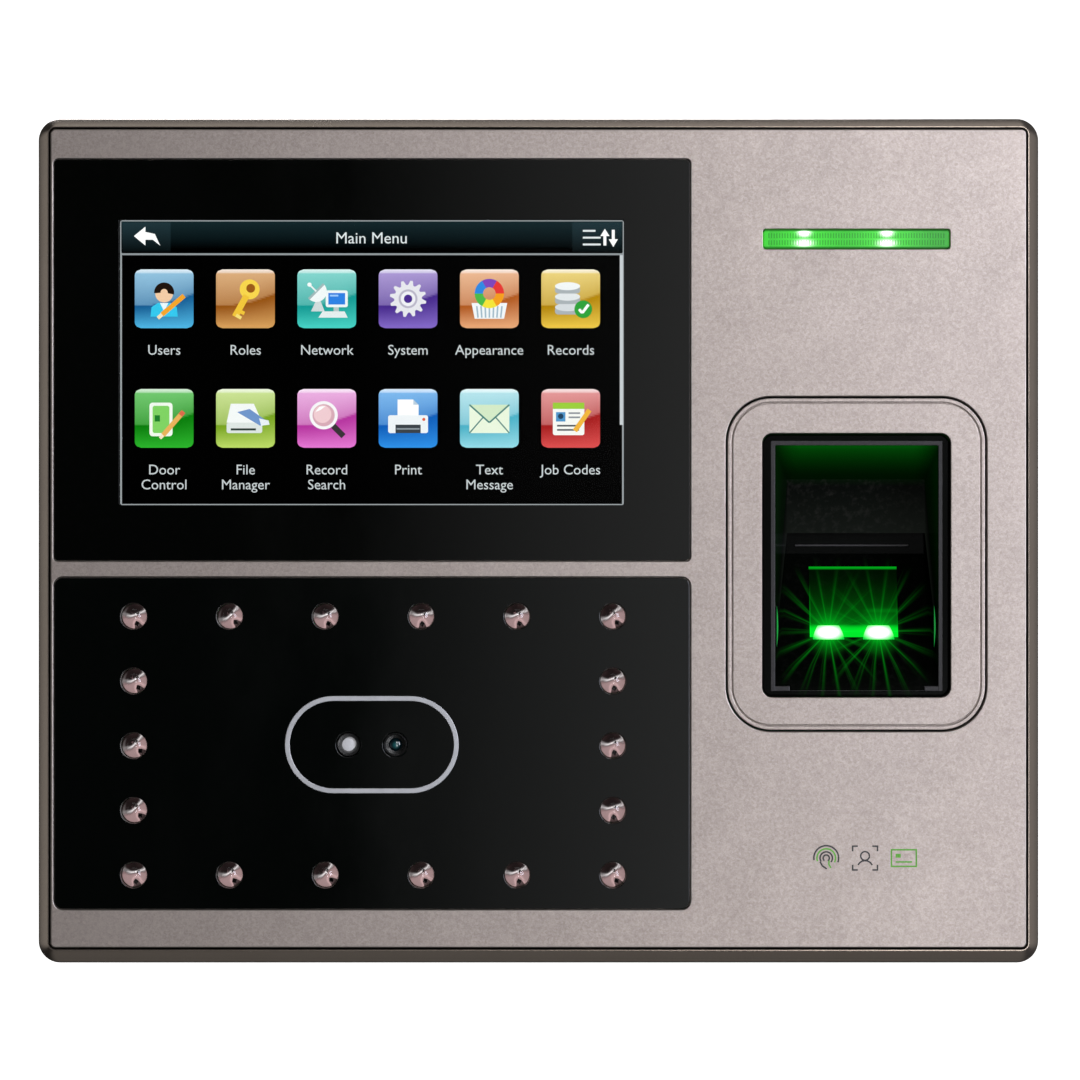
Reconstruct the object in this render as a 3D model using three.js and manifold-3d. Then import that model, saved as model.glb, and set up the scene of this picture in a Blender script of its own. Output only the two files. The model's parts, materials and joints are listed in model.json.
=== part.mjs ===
// Wall-mounted access terminal with a colour touch screen, two cameras inside a field of infrared
// lamps, and a finger well with an optical fingerprint reader.
//
// Millimetres. +X is the viewer's right, +Y points into the wall and +Z is up. The origin is the
// middle of the wall plate's back face. The terminal's face leans back by TILT, so its pieces are
// drawn face-on in a turned group, where y is the depth behind the face and (x, z) = (0, 0) is the
// middle of the face.

import * as THREE from 'three';
import { mergeVertices } from 'three/addons/utils/BufferGeometryUtils.js';
import Module from 'manifold-3d';

const wasm = await Module();
wasm.setup();

// ---------------------------------------------------------------- driving dimensions

const TILT = THREE.MathUtils.degToRad(15);
const FACE_CENTRE = new THREE.Vector3(0, -64.85, 16);
const GAP = 0.3;
const SLIT = 0.2;
const WALL = 2.6;

// Outlines on the face: left, right, bottom and top edges, and the corner radius.
const FRAME_OUTER = { left: -96.8, right: 96.8, bottom: -81.7, top: 81.7, radius: 4.2 };
const COVER = { left: -94.25, right: 94.25, bottom: -78.6, top: 79.5, radius: 0.9 };
const SCREEN_POCKET = { left: -93.7, right: 29.4, bottom: -3.95, top: 73.8, radius: 0.9 };
const CAMERA_POCKET = { left: -93.7, right: 29.4, bottom: -71.3, top: -7, radius: 1.8 };
const SCREEN_VIEW = { left: -81.05, right: 16.55, bottom: 6.9, top: 62.1, radius: 0.4 };
const SCREEN_HOLE = { left: -83.3, right: 18.8, bottom: 4.6, top: 64.4, radius: 1.5 };
const CAMERA_HOLE = { left: -84, right: 20, bottom: -69, top: -9.5, radius: 1.5 };
const LCD = { left: -85.05, right: 20.45, bottom: 0.9, top: 68.1, radius: 1 };
const LIGHT_SLOT = { left: 43.4, right: 79.5, bottom: 56.4, top: 60.2, radius: 0.5 };
const BEZEL_HOLE = { left: 36.2, right: 86.65, bottom: -36.9, top: 27.9, radius: 8.8 };
const WELL_OPENING = { left: 43.2, right: 79.7, bottom: -30.3, top: 20.8, radius: 2 };

// Depths behind the face.
const GLASS_DEPTH = 2.15;
const PLATE_BACK = 3.2;
const SKIRT_BACK = 12;
const BOSS_BACK = 18;
const FRAME_BACK = 20;
const SLAB_FRONT = FRAME_BACK + GAP;
const SLAB_BACK = 27;
const SMALL_BOARD_FRONT = 9;
const SMALL_BOARD_BACK = 10.6;
const MAIN_BOARD_FRONT = 20;
const MAIN_BOARD_BACK = 21.6;

// Infrared lamps stand round the edge of a grid, and the cameras look out of the middle.
const LAMP_GRID = { columns: 6, rows: 5, pitchX: 18.52, pitchZ: 12.5, x: -31.9, z: -39.6 };
const LAMP_RADIUS = 2.4;
const LAMP_HOLE_RADIUS = 2.6;
const CAMERA_Z = -39.4;
const INFRARED_CAMERA_X = -36.7;
const VISIBLE_CAMERA_X = -27.65;
const LENS_RADIUS = 2.3;
const RING = { x: -32.2, halfStraight: 7.4, radius: 9.4, width: 0.95 };

// The green light bar and its two lamps.
const INDICATOR_X = [51.4, 67.2];
const LIGHT_PIPE_BACK = 6;

// The finger well, drawn in the side view as [depth, height] pairs from its upper to its lower lip.
const WELL_FRONT = 1.2;
const WELL_BACK = 24;
const WELL_CEILING = [13, 12];
const WELL_STEP = [15.5, 1.5];
const PLATEN_TOP = [15.5, -2.5];
const PLATEN_BOTTOM = [6.5, -24];
const WELL_MOUTH = { left: 44.95, right: 78.2, bottom: -29.2, top: 19.4 };
const WELL_FLOOR_LEFT = 47.6;
const PLATEN_SLOPE = Math.atan2(PLATEN_TOP[0] - PLATEN_BOTTOM[0], PLATEN_TOP[1] - PLATEN_BOTTOM[1]);
const PLATEN = { x: 61.43, z: -12.4, width: 17.55, length: 15.4, thickness: 5 };
const SENSOR_LAMP_OFFSET_X = 4.95;

// The rear case: a slab behind the frame and a wedge that stands on the wall.
const SLAB = { left: -95.8, right: 95.8, bottom: -80.7, top: 80.7, radius: 3.4 };
const WEDGE = { left: -75, right: 75, bottom: -58, top: 66, radius: 9 };
const WEDGE_BACK = -0.5;
const RECESS = { left: -71.5, right: 71.5, bottom: -54.5, top: 62.5, radius: 6 };
const RECESS_FLOOR = -6;
const BAY = { left: -46, right: 46, bottom: -46, top: -6, radius: 2 };
const BAY_FLOOR = -22;
const BAY_WALL = 2;
const FAR_FRONT = -90;

// The wall plate hangs the terminal on two hooks and holds it with one screw from below.
const PLATE = { left: -67, right: 67, bottom: -47, top: 58, radius: 4 };
const PLATE_FRONT = -1.5;
const PLATE_WINDOW = { left: -44, right: 44, bottom: -41, top: -7, radius: 4 };
const WALL_SLOT = { x: 55, z: [-36, 42], width: 4, length: 10 };
const HOOK = { x: 35, width: 10, bottom: 36, stemTop: 38, lipTop: 44, front: -10.6, lipBack: -9.1 };
const LIFT = 7;
const FLANGE = { halfWidth: 14, front: -18, bottom: -60.3, top: -58.8 };
const SECURITY_SCREW_Y = -12;

// Connector board and what stands on it, straight to the wall.
const IO_BOARD = { left: -69, right: 68, bottom: -49.7, top: -4, radius: 2 };
const IO_BOARD_FRONT = -41.6;
const IO_BOARD_BACK = -40;
const CONNECTOR_FRONT = IO_BOARD_BACK + GAP;
const CONNECTOR_BACK = -21.6;
const ETHERNET = { left: -42, right: -25.8, bottom: -24.5, top: -11.1, radius: 0.4 };
const POWER = { left: -40.4, right: -29.6, bottom: -42.2, top: -31, radius: 0.6 };
const TERMINALS = { left: -14, pitch: 3.81, count: 12, height: 10, lower: -41, upper: -22 };
const RESET = { x: 39, z: -17 };
const TAMPER = { x: 58, z: -26 };
const TAMPER_SWITCH_BACK = -34.6;
const SPEAKER = { x: -48, y: -38, radius: 14, bottom: -55, top: -50.6 };
const USB = { front: -39.7, back: -32.7, bottom: -29.5, top: -15.5, mouth: -73.4, tail: -58 };
const USB_COVER = { front: -42, back: -30.8, bottom: -32.2, top: -13, thickness: 1.2 };

const CASE_SCREW = { x: 88, z: 74.5, headRadius: 2.8, shankRadius: 1.5, headFront: 24.9, headBack: 26.9 };

// Colour, roughness and metalness of each finish.
const FINISHES = {
  champagnePaint: { color: 0xb9afa6, roughness: 0.42, metalness: 0.6 },
  bronzePaint: { color: 0x6f685f, roughness: 0.4, metalness: 0.65 },
  darkPlastic: { color: 0x26272a, roughness: 0.6, metalness: 0 },
  glossBlack: { color: 0x060707, roughness: 0.12, metalness: 0 },
  blackGlass: { color: 0x050606, roughness: 0.06, metalness: 0 },
  clearLens: { color: 0xe8d9e4, roughness: 0.08, metalness: 0 },
  screenFace: { color: 0x101a2c, roughness: 0.2, metalness: 0 },
  greyTrim: { color: 0xb4b5b4, roughness: 0.35, metalness: 0.3 },
  greenPipe: { color: 0x35d321, roughness: 0.25, metalness: 0 },
  sensorGlass: { color: 0x0b5a20, roughness: 0.08, metalness: 0 },
  boardGreen: { color: 0x0f4a2b, roughness: 0.45, metalness: 0 },
  steel: { color: 0xb3b4b6, roughness: 0.35, metalness: 1 },
  rubber: { color: 0x161616, roughness: 0.85, metalness: 0 },
  terminalGreen: { color: 0x1f7a3c, roughness: 0.5, metalness: 0 },
  amberFilm: { color: 0xb5732a, roughness: 0.4, metalness: 0 },
};

// ---------------------------------------------------------------- shape helpers

function inset(area, by) {
  return {
    left: area.left + by,
    right: area.right - by,
    bottom: area.bottom + by,
    top: area.top - by,
    radius: Math.max(area.radius - by, 0.2),
  };
}

function roundedRectangle({ left, right, bottom, top, radius }, path = new THREE.Shape()) {
  const quarter = Math.PI / 2;
  path.moveTo(left + radius, bottom);
  path.absarc(right - radius, bottom + radius, radius, -quarter, 0, false);
  path.absarc(right - radius, top - radius, radius, 0, quarter, false);
  path.absarc(left + radius, top - radius, radius, quarter, 2 * quarter, false);
  path.absarc(left + radius, bottom + radius, radius, 2 * quarter, 3 * quarter, false);
  path.closePath();
  return path;
}

function polygon(points) {
  return new THREE.Shape(points.map(([across, up]) => new THREE.Vector2(across, up)));
}

// An outline in X and Z, pushed through from depth y = front to y = back.
function pushed(shape, front, back, curveSegments = 4) {
  const geometry = new THREE.ExtrudeGeometry(shape, {
    depth: back - front,
    bevelEnabled: false,
    curveSegments,
  });
  return geometry.rotateX(Math.PI / 2).translate(0, back, 0);
}

function slab(area, front, back, curveSegments = 3) {
  return pushed(roundedRectangle(area), front, back, curveSegments);
}

// The same with both rims rounded off by the bevel.
function bevelledSlab(area, front, back, bevel, bevelSegments = 1) {
  const geometry = new THREE.ExtrudeGeometry(roundedRectangle(area), {
    depth: back - front - 2 * bevel,
    bevelThickness: bevel,
    bevelSize: bevel,
    bevelOffset: -bevel,
    bevelSegments,
    curveSegments: 3,
  });
  return geometry.rotateX(Math.PI / 2).translate(0, back - bevel, 0);
}

// A side outline of [depth, height] pairs, pushed from x = left to x = right.
function pushedSideways(points, left, right) {
  const turn = new THREE.Matrix4().makeBasis(
    new THREE.Vector3(0, 1, 0), new THREE.Vector3(0, 0, 1), new THREE.Vector3(1, 0, 0));
  const geometry = new THREE.ExtrudeGeometry(polygon(points), { depth: right - left, bevelEnabled: false });
  return geometry.applyMatrix4(turn).translate(left, 0, 0);
}

function block([left, right], [front, back], [bottom, top]) {
  const geometry = new THREE.BoxGeometry(right - left, back - front, top - bottom);
  return geometry.translate((left + right) / 2, (front + back) / 2, (bottom + top) / 2);
}

// A round bar along Y.
function bar(radius, x, z, front, back, sides = 16) {
  const geometry = new THREE.CylinderGeometry(radius, radius, back - front, sides);
  return geometry.translate(x, (front + back) / 2, z);
}

// A round bar along Z.
function post(radius, x, y, bottom, top, sides = 16) {
  const geometry = new THREE.CylinderGeometry(radius, radius, top - bottom, sides);
  return geometry.rotateX(Math.PI / 2).translate(x, y, (bottom + top) / 2);
}

function solid(geometry) {
  const bare = geometry.clone();
  bare.deleteAttribute('normal');
  bare.deleteAttribute('uv');
  const merged = mergeVertices(bare);
  return new wasm.Manifold(new wasm.Mesh({
    numProp: 3,
    vertProperties: merged.attributes.position.array,
    triVerts: new Uint32Array(merged.index.array),
  }));
}

function asSolid(shape) {
  return shape.isBufferGeometry ? solid(shape) : shape;
}

function join(...shapes) {
  return shapes.map(asSolid).reduce((whole, shape) => whole.add(shape));
}

function cut(base, ...tools) {
  return tools.map(asSolid).reduce((rest, tool) => rest.subtract(tool), asSolid(base));
}

function common(first, second) {
  return asSolid(first).intersect(asSolid(second));
}

function asGeometry(shape) {
  if (shape.isBufferGeometry) return shape;
  const mesh = shape.getMesh();
  const geometry = new THREE.BufferGeometry();
  geometry.setAttribute('position', new THREE.BufferAttribute(mesh.vertProperties, 3));
  geometry.setIndex(new THREE.BufferAttribute(mesh.triVerts, 1));
  geometry.computeVertexNormals();
  return geometry;
}

function addPart(group, name, finish, shape) {
  const mesh = new THREE.Mesh(asGeometry(shape), new THREE.MeshStandardMaterial(FINISHES[finish]));
  mesh.name = name;
  group.add(mesh);
  return mesh;
}

function corners(x, z) {
  return [[-x, z], [x, z], [-x, -z], [x, -z]];
}

// Moves a shape drawn face-on into the wall's frame.
function leaned(geometry) {
  const placing = new THREE.Matrix4().makeRotationX(-TILT).setPosition(FACE_CENTRE);
  return geometry.applyMatrix4(placing);
}

// Moves a shape drawn flat on the platen into the face's frame.
function onPlaten(geometry) {
  return geometry.applyMatrix4(platenPlacing());
}

function platenPlacing() {
  const fromTop = (PLATEN_TOP[1] - PLATEN.z) * Math.tan(PLATEN_SLOPE);
  const placing = new THREE.Matrix4().makeRotationX(-PLATEN_SLOPE);
  return placing.setPosition(PLATEN.x, PLATEN_TOP[0] - fromTop, PLATEN.z);
}

// ---------------------------------------------------------------- front shell

function frontCover() {
  const skirtInside = slab(inset(COVER, 1.6), PLATE_BACK - 1, SKIRT_BACK + 1);
  const skirt = cut(slab(COVER, PLATE_BACK - 0.5, SKIRT_BACK), skirtInside);
  const screwBosses = corners(CASE_SCREW.x, CASE_SCREW.z)
    .map(([x, z]) => bar(3, x, z, PLATE_BACK - 0.5, BOSS_BACK, 12));
  const boardPosts = [[-60, -5.5], [0, -5.5], [-60, -73.5], [0, -73.5], [43, 65.5], [80, 65.5]]
    .map(([x, z]) => bar(2, x, z, PLATE_BACK - 0.5, SMALL_BOARD_FRONT - GAP, 10));
  const screenRibs = [
    block([LCD.left - 1.9, LCD.left - 0.4], [PLATE_BACK - 0.5, 7.2], [22, 47]),
    block([LCD.right + 0.4, LCD.right + 1.9], [PLATE_BACK - 0.5, 7.2], [22, 47]),
    block([-45, -20], [PLATE_BACK - 0.5, 7.2], [LCD.top + 0.4, LCD.top + 1.9]),
  ];
  const body = join(slab(COVER, 0, PLATE_BACK), skirt, ...screwBosses, ...boardPosts, ...screenRibs);
  const screwHoles = corners(CASE_SCREW.x, CASE_SCREW.z)
    .map(([x, z]) => bar(1.7, x, z, 7, BOSS_BACK + 1, 12));
  return cut(body,
    slab(SCREEN_POCKET, -1, GLASS_DEPTH),
    slab(CAMERA_POCKET, -1, GLASS_DEPTH),
    slab(SCREEN_HOLE, 0, PLATE_BACK + 1),
    slab(CAMERA_HOLE, 0, PLATE_BACK + 1),
    slab(LIGHT_SLOT, -1, PLATE_BACK + 1),
    slab(BEZEL_HOLE, -1, PLATE_BACK + 1, 7),
    ...screwHoles);
}

function sideFrame() {
  const opening = inset(COVER, -0.4);
  const rounded = bevelledSlab(FRAME_OUTER, 0, FRAME_BACK + 2, 1.2, 2);
  const shell = cut(rounded, block([-100, 100], [FRAME_BACK, FRAME_BACK + 5], [-90, 90]));
  const hollow = cut(shell, slab(opening, -1, FRAME_BACK + 1));
  const gussets = corners(CASE_SCREW.x, CASE_SCREW.z).map(([x, z]) => block(
    [x - 6 - (x < 0 ? 2 : 0), x + 6 + (x > 0 ? 2 : 0)], [BOSS_BACK + GAP, FRAME_BACK], [z - 6, z + 6]));
  const screwHoles = corners(CASE_SCREW.x, CASE_SCREW.z)
    .map(([x, z]) => bar(1.8, x, z, 15, FRAME_BACK + 1, 12));
  return cut(join(hollow, ...gussets), ...screwHoles);
}

// ---------------------------------------------------------------- screen

function screenGasket() {
  const shape = roundedRectangle(inset(SCREEN_HOLE, GAP));
  shape.holes.push(roundedRectangle(inset(SCREEN_VIEW, -0.6), new THREE.Path()));
  return pushed(shape, 2.1, PLATE_BACK, 2);
}

function lcdModule() {
  const frame = slab(LCD, PLATE_BACK + GAP, 6.8, 2);
  const window = slab(SCREEN_VIEW, PLATE_BACK, PLATE_BACK + GAP + 0.35, 1);
  return cut(frame, window);
}

function ribbon(left, right, front, back, bottom, top) {
  const thickness = 0.3;
  return pushedSideways([
    [front, top],
    [front + thickness, top],
    [front + thickness, bottom + thickness],
    [back, bottom + thickness],
    [back, bottom - 8],
    [back - thickness, bottom - 8],
    [back - thickness, bottom],
    [front, bottom],
  ].reverse(), left, right);
}

// ---------------------------------------------------------------- cameras and lamps

function lampPlaces() {
  const { columns, rows, pitchX, pitchZ, x, z } = LAMP_GRID;
  const places = [];
  for (let row = 0; row < rows; row += 1) {
    for (let column = 0; column < columns; column += 1) {
      const onEdge = row === 0 || row === rows - 1 || column === 0 || column === columns - 1;
      if (onEdge) {
        const across = (column - (columns - 1) / 2) * pitchX;
        const up = ((rows - 1) / 2 - row) * pitchZ;
        places.push([x + across, z + up]);
      }
    }
  }
  return places;
}

function stadium(radius, path = new THREE.Shape()) {
  const quarter = Math.PI / 2;
  path.moveTo(RING.x - RING.halfStraight, CAMERA_Z - radius);
  path.absarc(RING.x + RING.halfStraight, CAMERA_Z, radius, -quarter, quarter, false);
  path.absarc(RING.x - RING.halfStraight, CAMERA_Z, radius, quarter, 3 * quarter, false);
  path.closePath();
  return path;
}

function stadiumRing(outer, inner, front, back) {
  const shape = stadium(outer);
  shape.holes.push(stadium(inner, new THREE.Path()));
  return pushed(shape, front, back, 8);
}

function cameraWindow() {
  const glass = slab(inset(CAMERA_POCKET, SLIT), 0.1, 1.9);
  const lampHoles = lampPlaces().map(([x, z]) => bar(LAMP_HOLE_RADIUS, x, z, -1, 3, 12));
  const lensHoles = [INFRARED_CAMERA_X, VISIBLE_CAMERA_X]
    .map((x) => bar(LENS_RADIUS + SLIT, x, CAMERA_Z, -1, 3));
  const groove = stadiumRing(RING.radius + 0.15, RING.radius - RING.width - 0.15, -1, 1.1);
  return cut(glass, ...lampHoles, ...lensHoles, groove);
}

function camera() {
  const profile = [
    [0, 8.7],
    [4, 8.7],
    [4, 3.6],
    [3.4, 2.5],
    [LENS_RADIUS, 2.5],
    [LENS_RADIUS, 0.5],
    [1.7, 0.5],
    [1.5, 1],
    [0.8, 0.75],
    [0, 0.7],
  ].reverse();
  return new THREE.LatheGeometry(profile.map(([radius, depth]) => new THREE.Vector2(radius, depth)), 16);
}

// A round lamp: a clear dome on a straight barrel, with a wider foot that rests on its board.
function lamp() {
  const domeCentre = 2.4;
  const profile = [[0, domeCentre - LAMP_RADIUS]];
  for (const degrees of [30, 60]) {
    const angle = THREE.MathUtils.degToRad(degrees);
    profile.push([LAMP_RADIUS * Math.sin(angle), domeCentre - LAMP_RADIUS * Math.cos(angle)]);
  }
  profile.push([LAMP_RADIUS, domeCentre], [LAMP_RADIUS, 7.7], [2.85, 7.7], [2.85, 8.7], [0, 8.7]);
  return new THREE.LatheGeometry(profile.map(([radius, depth]) => new THREE.Vector2(radius, depth)), 8);
}

function addCamerasAndLamps(face) {
  addPart(face, 'camera_window', 'blackGlass', cameraWindow());
  const ring = stadiumRing(RING.radius, RING.radius - RING.width, 0, 0.8);
  addPart(face, 'camera_ring', 'greyTrim', ring);
  addPart(face, 'infrared_camera', 'glossBlack', camera()).position.set(INFRARED_CAMERA_X, 0, CAMERA_Z);
  addPart(face, 'visible_camera', 'glossBlack', camera()).position.set(VISIBLE_CAMERA_X, 0, CAMERA_Z);
  const board = { left: -84, right: 22, bottom: -76, top: -2, radius: 1 };
  addPart(face, 'led_board', 'boardGreen', slab(board, SMALL_BOARD_FRONT, SMALL_BOARD_BACK, 2));
  lampPlaces().forEach(([x, z], index) => {
    const name = `ir_led_${String(index + 1).padStart(2, '0')}`;
    addPart(face, name, 'clearLens', lamp()).position.set(x, 0, z);
  });
}

// ---------------------------------------------------------------- light bar

function addLightBar(face) {
  addPart(face, 'light_pipe', 'greenPipe', slab(inset(LIGHT_SLOT, SLIT), 0, LIGHT_PIPE_BACK, 3));
  const board = { left: 40, right: 83, bottom: 52.5, top: 68, radius: 1 };
  addPart(face, 'indicator_board', 'boardGreen', slab(board, SMALL_BOARD_FRONT, SMALL_BOARD_BACK, 2));
  const middle = (LIGHT_SLOT.bottom + LIGHT_SLOT.top) / 2;
  ['indicator_led_left', 'indicator_led_right'].forEach((name, index) => {
    const x = INDICATOR_X[index];
    const depths = [LIGHT_PIPE_BACK + 0.6, SMALL_BOARD_FRONT - GAP];
    const shape = block([x - 1.75, x + 1.75], depths, [middle - 1.4, middle + 1.4]);
    addPart(face, name, 'greenPipe', shape);
  });
}

// ---------------------------------------------------------------- fingerprint reader

function fingerprintBezel() {
  const outer = inset(BEZEL_HOLE, 0.25);
  const body = bevelledSlab(outer, 0, 8, 0.9);
  const flange = slab(inset(BEZEL_HOLE, -2.5), PLATE_BACK + GAP, 6);
  const whole = cut(join(body, flange), block([20, 100], [6, 12], [-50, 50]));
  return cut(whole, slab(WELL_OPENING, -1, 10));
}

function wellHollow() {
  const { left, right, bottom, top } = WELL_MOUTH;
  const sideView = pushedSideways([
    [0, bottom],
    [WELL_FRONT, bottom],
    PLATEN_BOTTOM,
    PLATEN_TOP,
    WELL_STEP,
    [WELL_CEILING[0], WELL_STEP[1]],
    WELL_CEILING,
    [WELL_FRONT, top],
    [0, top],
  ], left, right);
  const taper = block([-0.5, 0.5], [WELL_FRONT, WELL_BACK], [bottom, top]);
  const position = taper.attributes.position;
  const slope = (WELL_FLOOR_LEFT - left) / (WELL_CEILING[0] - WELL_FRONT);
  for (let i = 0; i < position.count; i += 1) {
    const narrowing = slope * (position.getY(i) - WELL_FRONT);
    position.setX(i, position.getX(i) < 0 ? left + narrowing : right - narrowing);
  }
  return common(sideView, join(taper, block([left, right], [0, WELL_FRONT + 0.01], [bottom, top])));
}

function sensorHousing() {
  const outer = inset(WELL_OPENING, 0.25);
  const wall = 2.1;
  const backRoom = pushedSideways([
    [WELL_BACK + 1, -28],
    [5.4, -28],
    [8.6, -24.9],
    [17.6, -3.4],
    [17.6, 3.6],
    [15.2, 3.6],
    [15.2, 13.2],
    [7.2, 18.4],
    [WELL_BACK + 1, 18.4],
  ].reverse(), outer.left + wall, outer.right - wall);
  const prismHole = onPlaten(block(
    [-PLATEN.width / 2 - SLIT, PLATEN.width / 2 + SLIT], [-2, 6],
    [-PLATEN.length / 2 - SLIT, PLATEN.length / 2 + SLIT]));
  return cut(slab(outer, WELL_FRONT, WELL_BACK), wellHollow(), backRoom, prismHole);
}

function addFingerprintReader(face) {
  addPart(face, 'fingerprint_bezel', 'champagnePaint', fingerprintBezel());
  addPart(face, 'sensor_housing', 'glossBlack', sensorHousing());
  const platen = new THREE.Group();
  platen.applyMatrix4(platenPlacing());
  face.add(platen);
  const halfWidth = PLATEN.width / 2;
  const halfLength = PLATEN.length / 2;
  const prism = block([-halfWidth, halfWidth], [0.25, PLATEN.thickness], [-halfLength, halfLength]);
  addPart(platen, 'sensor_prism', 'sensorGlass', prism);
  ['sensor_led_left', 'sensor_led_right'].forEach((name, index) => {
    const x = SENSOR_LAMP_OFFSET_X * (index === 0 ? -1 : 1);
    addPart(platen, name, 'greenPipe', block([x - 1.6, x + 1.6], [5.4, 6.8], [-7.6, -4.8]));
  });
  addPart(platen, 'sensor_board', 'boardGreen', block([-14, 14], [7.1, 8.5], [-9, 9]));
}

// ---------------------------------------------------------------- rear case

function rearShell() {
  const rear = leaned(block([-120, 120], [SLAB_BACK - 4, 200], [-150, 150]));
  const outerWedge = common(slab(WEDGE, FAR_FRONT, WEDGE_BACK, 5), rear);
  const thickSlab = leaned(bevelledSlab(SLAB, SLAB_FRONT - 6, SLAB_BACK, 3, 2));
  const slabPart = cut(thickSlab, leaned(block([-120, 120], [0, SLAB_FRONT], [-100, 100])));
  const slabRoom = leaned(slab(inset(SLAB, WALL), SLAB_FRONT - 5, SLAB_BACK - WALL));
  const beyondSlab = leaned(block([-120, 120], [SLAB_BACK - WALL - 1, 200], [-150, 150]));
  const wedgeRoom = common(slab(inset(WEDGE, WALL), FAR_FRONT, RECESS_FLOOR - WALL, 5), beyondSlab);
  return cut(join(slabPart, outerWedge), slabRoom, wedgeRoom, slab(RECESS, RECESS_FLOOR, 5));
}

function rearCaseInside() {
  const bay = slab(inset(BAY, -BAY_WALL), BAY_FLOOR - BAY_WALL, RECESS_FLOOR - 0.5, 2);
  const boardPosts = [[-64, -9], [63, -9], [-64, -44], [63, -44]]
    .map(([x, z]) => bar(2.5, x, z, CONNECTOR_FRONT, RECESS_FLOOR - WALL / 2, 10));
  const tamperTube = bar(4.6, TAMPER.x, TAMPER.z, -20, RECESS_FLOOR - WALL / 2);
  const resetTube = bar(3.6, RESET.x, RESET.z, -31, BAY_FLOOR - BAY_WALL / 2);
  const screwBoss = post(4.2, 0, SECURITY_SCREW_Y, WEDGE.bottom + 1, -48.6);
  const speakerCup = post(SPEAKER.radius + 1.9, SPEAKER.x, SPEAKER.y, WEDGE.bottom + 1, -52.6, 20);
  const usbPad = block([WEDGE.left + 1, -70.6], [-43.2, -29.6], [-33.6, -11.6]);
  const pillars = corners(CASE_SCREW.x, CASE_SCREW.z)
    .map(([x, z]) => leaned(bar(4.2, x, z, SLAB_FRONT, SLAB_BACK - WALL / 2, 12)));
  const mainBoardPosts = [[-80, 64], [-80, -64], [34, 66], [34, -71.5]]
    .map(([x, z]) => leaned(bar(2.2, x, z, MAIN_BOARD_BACK + GAP, SLAB_BACK - WALL / 2, 10)));
  return [
    bay, tamperTube, resetTube, screwBoss, speakerCup, usbPad,
    ...boardPosts, ...pillars, ...mainBoardPosts,
  ];
}

function connectorOpenings() {
  const terminalsRight = TERMINALS.left + TERMINALS.pitch * TERMINALS.count;
  const rows = [TERMINALS.lower, TERMINALS.upper].map((bottom) => ({
    left: TERMINALS.left, right: terminalsRight, bottom, top: bottom + TERMINALS.height, radius: 0.4,
  }));
  return [ETHERNET, POWER, ...rows]
    .map((area) => slab(inset(area, -GAP), BAY_FLOOR - BAY_WALL - 2, BAY_FLOOR + 1, 1));
}

function rearCaseOpenings() {
  const hookSlots = [-HOOK.x, HOOK.x].map((x) => block(
    [x - HOOK.width / 2 - 1.5, x + HOOK.width / 2 + 1.5],
    [RECESS_FLOOR - WALL - 1, RECESS_FLOOR + 1],
    [HOOK.bottom - LIFT - 0.6, HOOK.stemTop + GAP]));
  const grille = [];
  for (let x = SPEAKER.x - 10.5; x <= SPEAKER.x + 10.5; x += 3.5) {
    const heights = [WEDGE.bottom - 1, SPEAKER.bottom + 1];
    grille.push(block([x - 0.9, x + 0.9], [SPEAKER.y - 8, SPEAKER.y + 8], heights));
  }
  const vents = [];
  for (let z = -44; z <= -14; z += 6) {
    vents.push(block([WEDGE.right - 4, WEDGE.right + 1], [-38, -18], [z - 1, z + 1]));
  }
  const flapRecess = block([WEDGE.left - 1, WEDGE.left + 1.4],
    [USB_COVER.front - GAP, USB_COVER.back + GAP], [USB_COVER.bottom - GAP, USB_COVER.top + GAP]);
  const fingernailNotch = block(
    [WEDGE.left - 1, WEDGE.left + 1.4], [-38.4, -34.4], [USB_COVER.bottom - 2.2, USB_COVER.bottom]);
  const usbHole = block(
    [WEDGE.left - 1, -70], [USB.front - GAP, USB.back + GAP], [USB.bottom - GAP, USB.top + GAP]);
  const screwHoles = corners(CASE_SCREW.x, CASE_SCREW.z).flatMap(([x, z]) => [
    leaned(bar(CASE_SCREW.shankRadius + 0.3, x, z, SLAB_FRONT - 1, SLAB_BACK + 1, 12)),
    leaned(bar(CASE_SCREW.headRadius + 0.3, x, z, CASE_SCREW.headFront - GAP, SLAB_BACK + 1)),
  ]);
  return [
    slab(BAY, BAY_FLOOR, RECESS_FLOOR + 1, 2),
    ...connectorOpenings(),
    ...hookSlots,
    block(
      [-FLANGE.halfWidth - 1, FLANGE.halfWidth + 1], [PLATE_FRONT - 0.8, 5],
      [WEDGE.bottom - 1, RECESS.bottom + 1]),
    bar(2.8, TAMPER.x, TAMPER.z, -21, 0),
    bar(2.2, RESET.x, RESET.z, -32, BAY_FLOOR - BAY_WALL, 12),
    bar(1, RESET.x, RESET.z, -32, BAY_FLOOR + 1, 12),
    post(1.75, 0, SECURITY_SCREW_Y, WEDGE.bottom - 1, -48, 12),
    post(SPEAKER.radius + 0.4, SPEAKER.x, SPEAKER.y, SPEAKER.bottom - 0.6, -50, 20),
    ...grille,
    ...vents,
    flapRecess,
    fingernailNotch,
    usbHole,
    ...screwHoles,
  ];
}

function rearCase() {
  return cut(join(rearShell(), ...rearCaseInside()), ...rearCaseOpenings());
}

// ---------------------------------------------------------------- screws

// A pan-head screw along Y, its head towards +Y, with a cross recess in the head.
function panHeadScrew(shankRadius, headRadius, tip, headFront, headBack) {
  const drive = [[0.45, 1.6], [1.6, 0.45]].map(([halfX, halfZ]) => block(
    [-halfX, halfX], [headBack - 1.1, headBack + 1], [-halfZ, halfZ]));
  const head = bar(headRadius, 0, 0, headFront, headBack);
  return cut(join(head, bar(shankRadius, 0, 0, tip, headFront + 0.5, 12)), ...drive);
}

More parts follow.
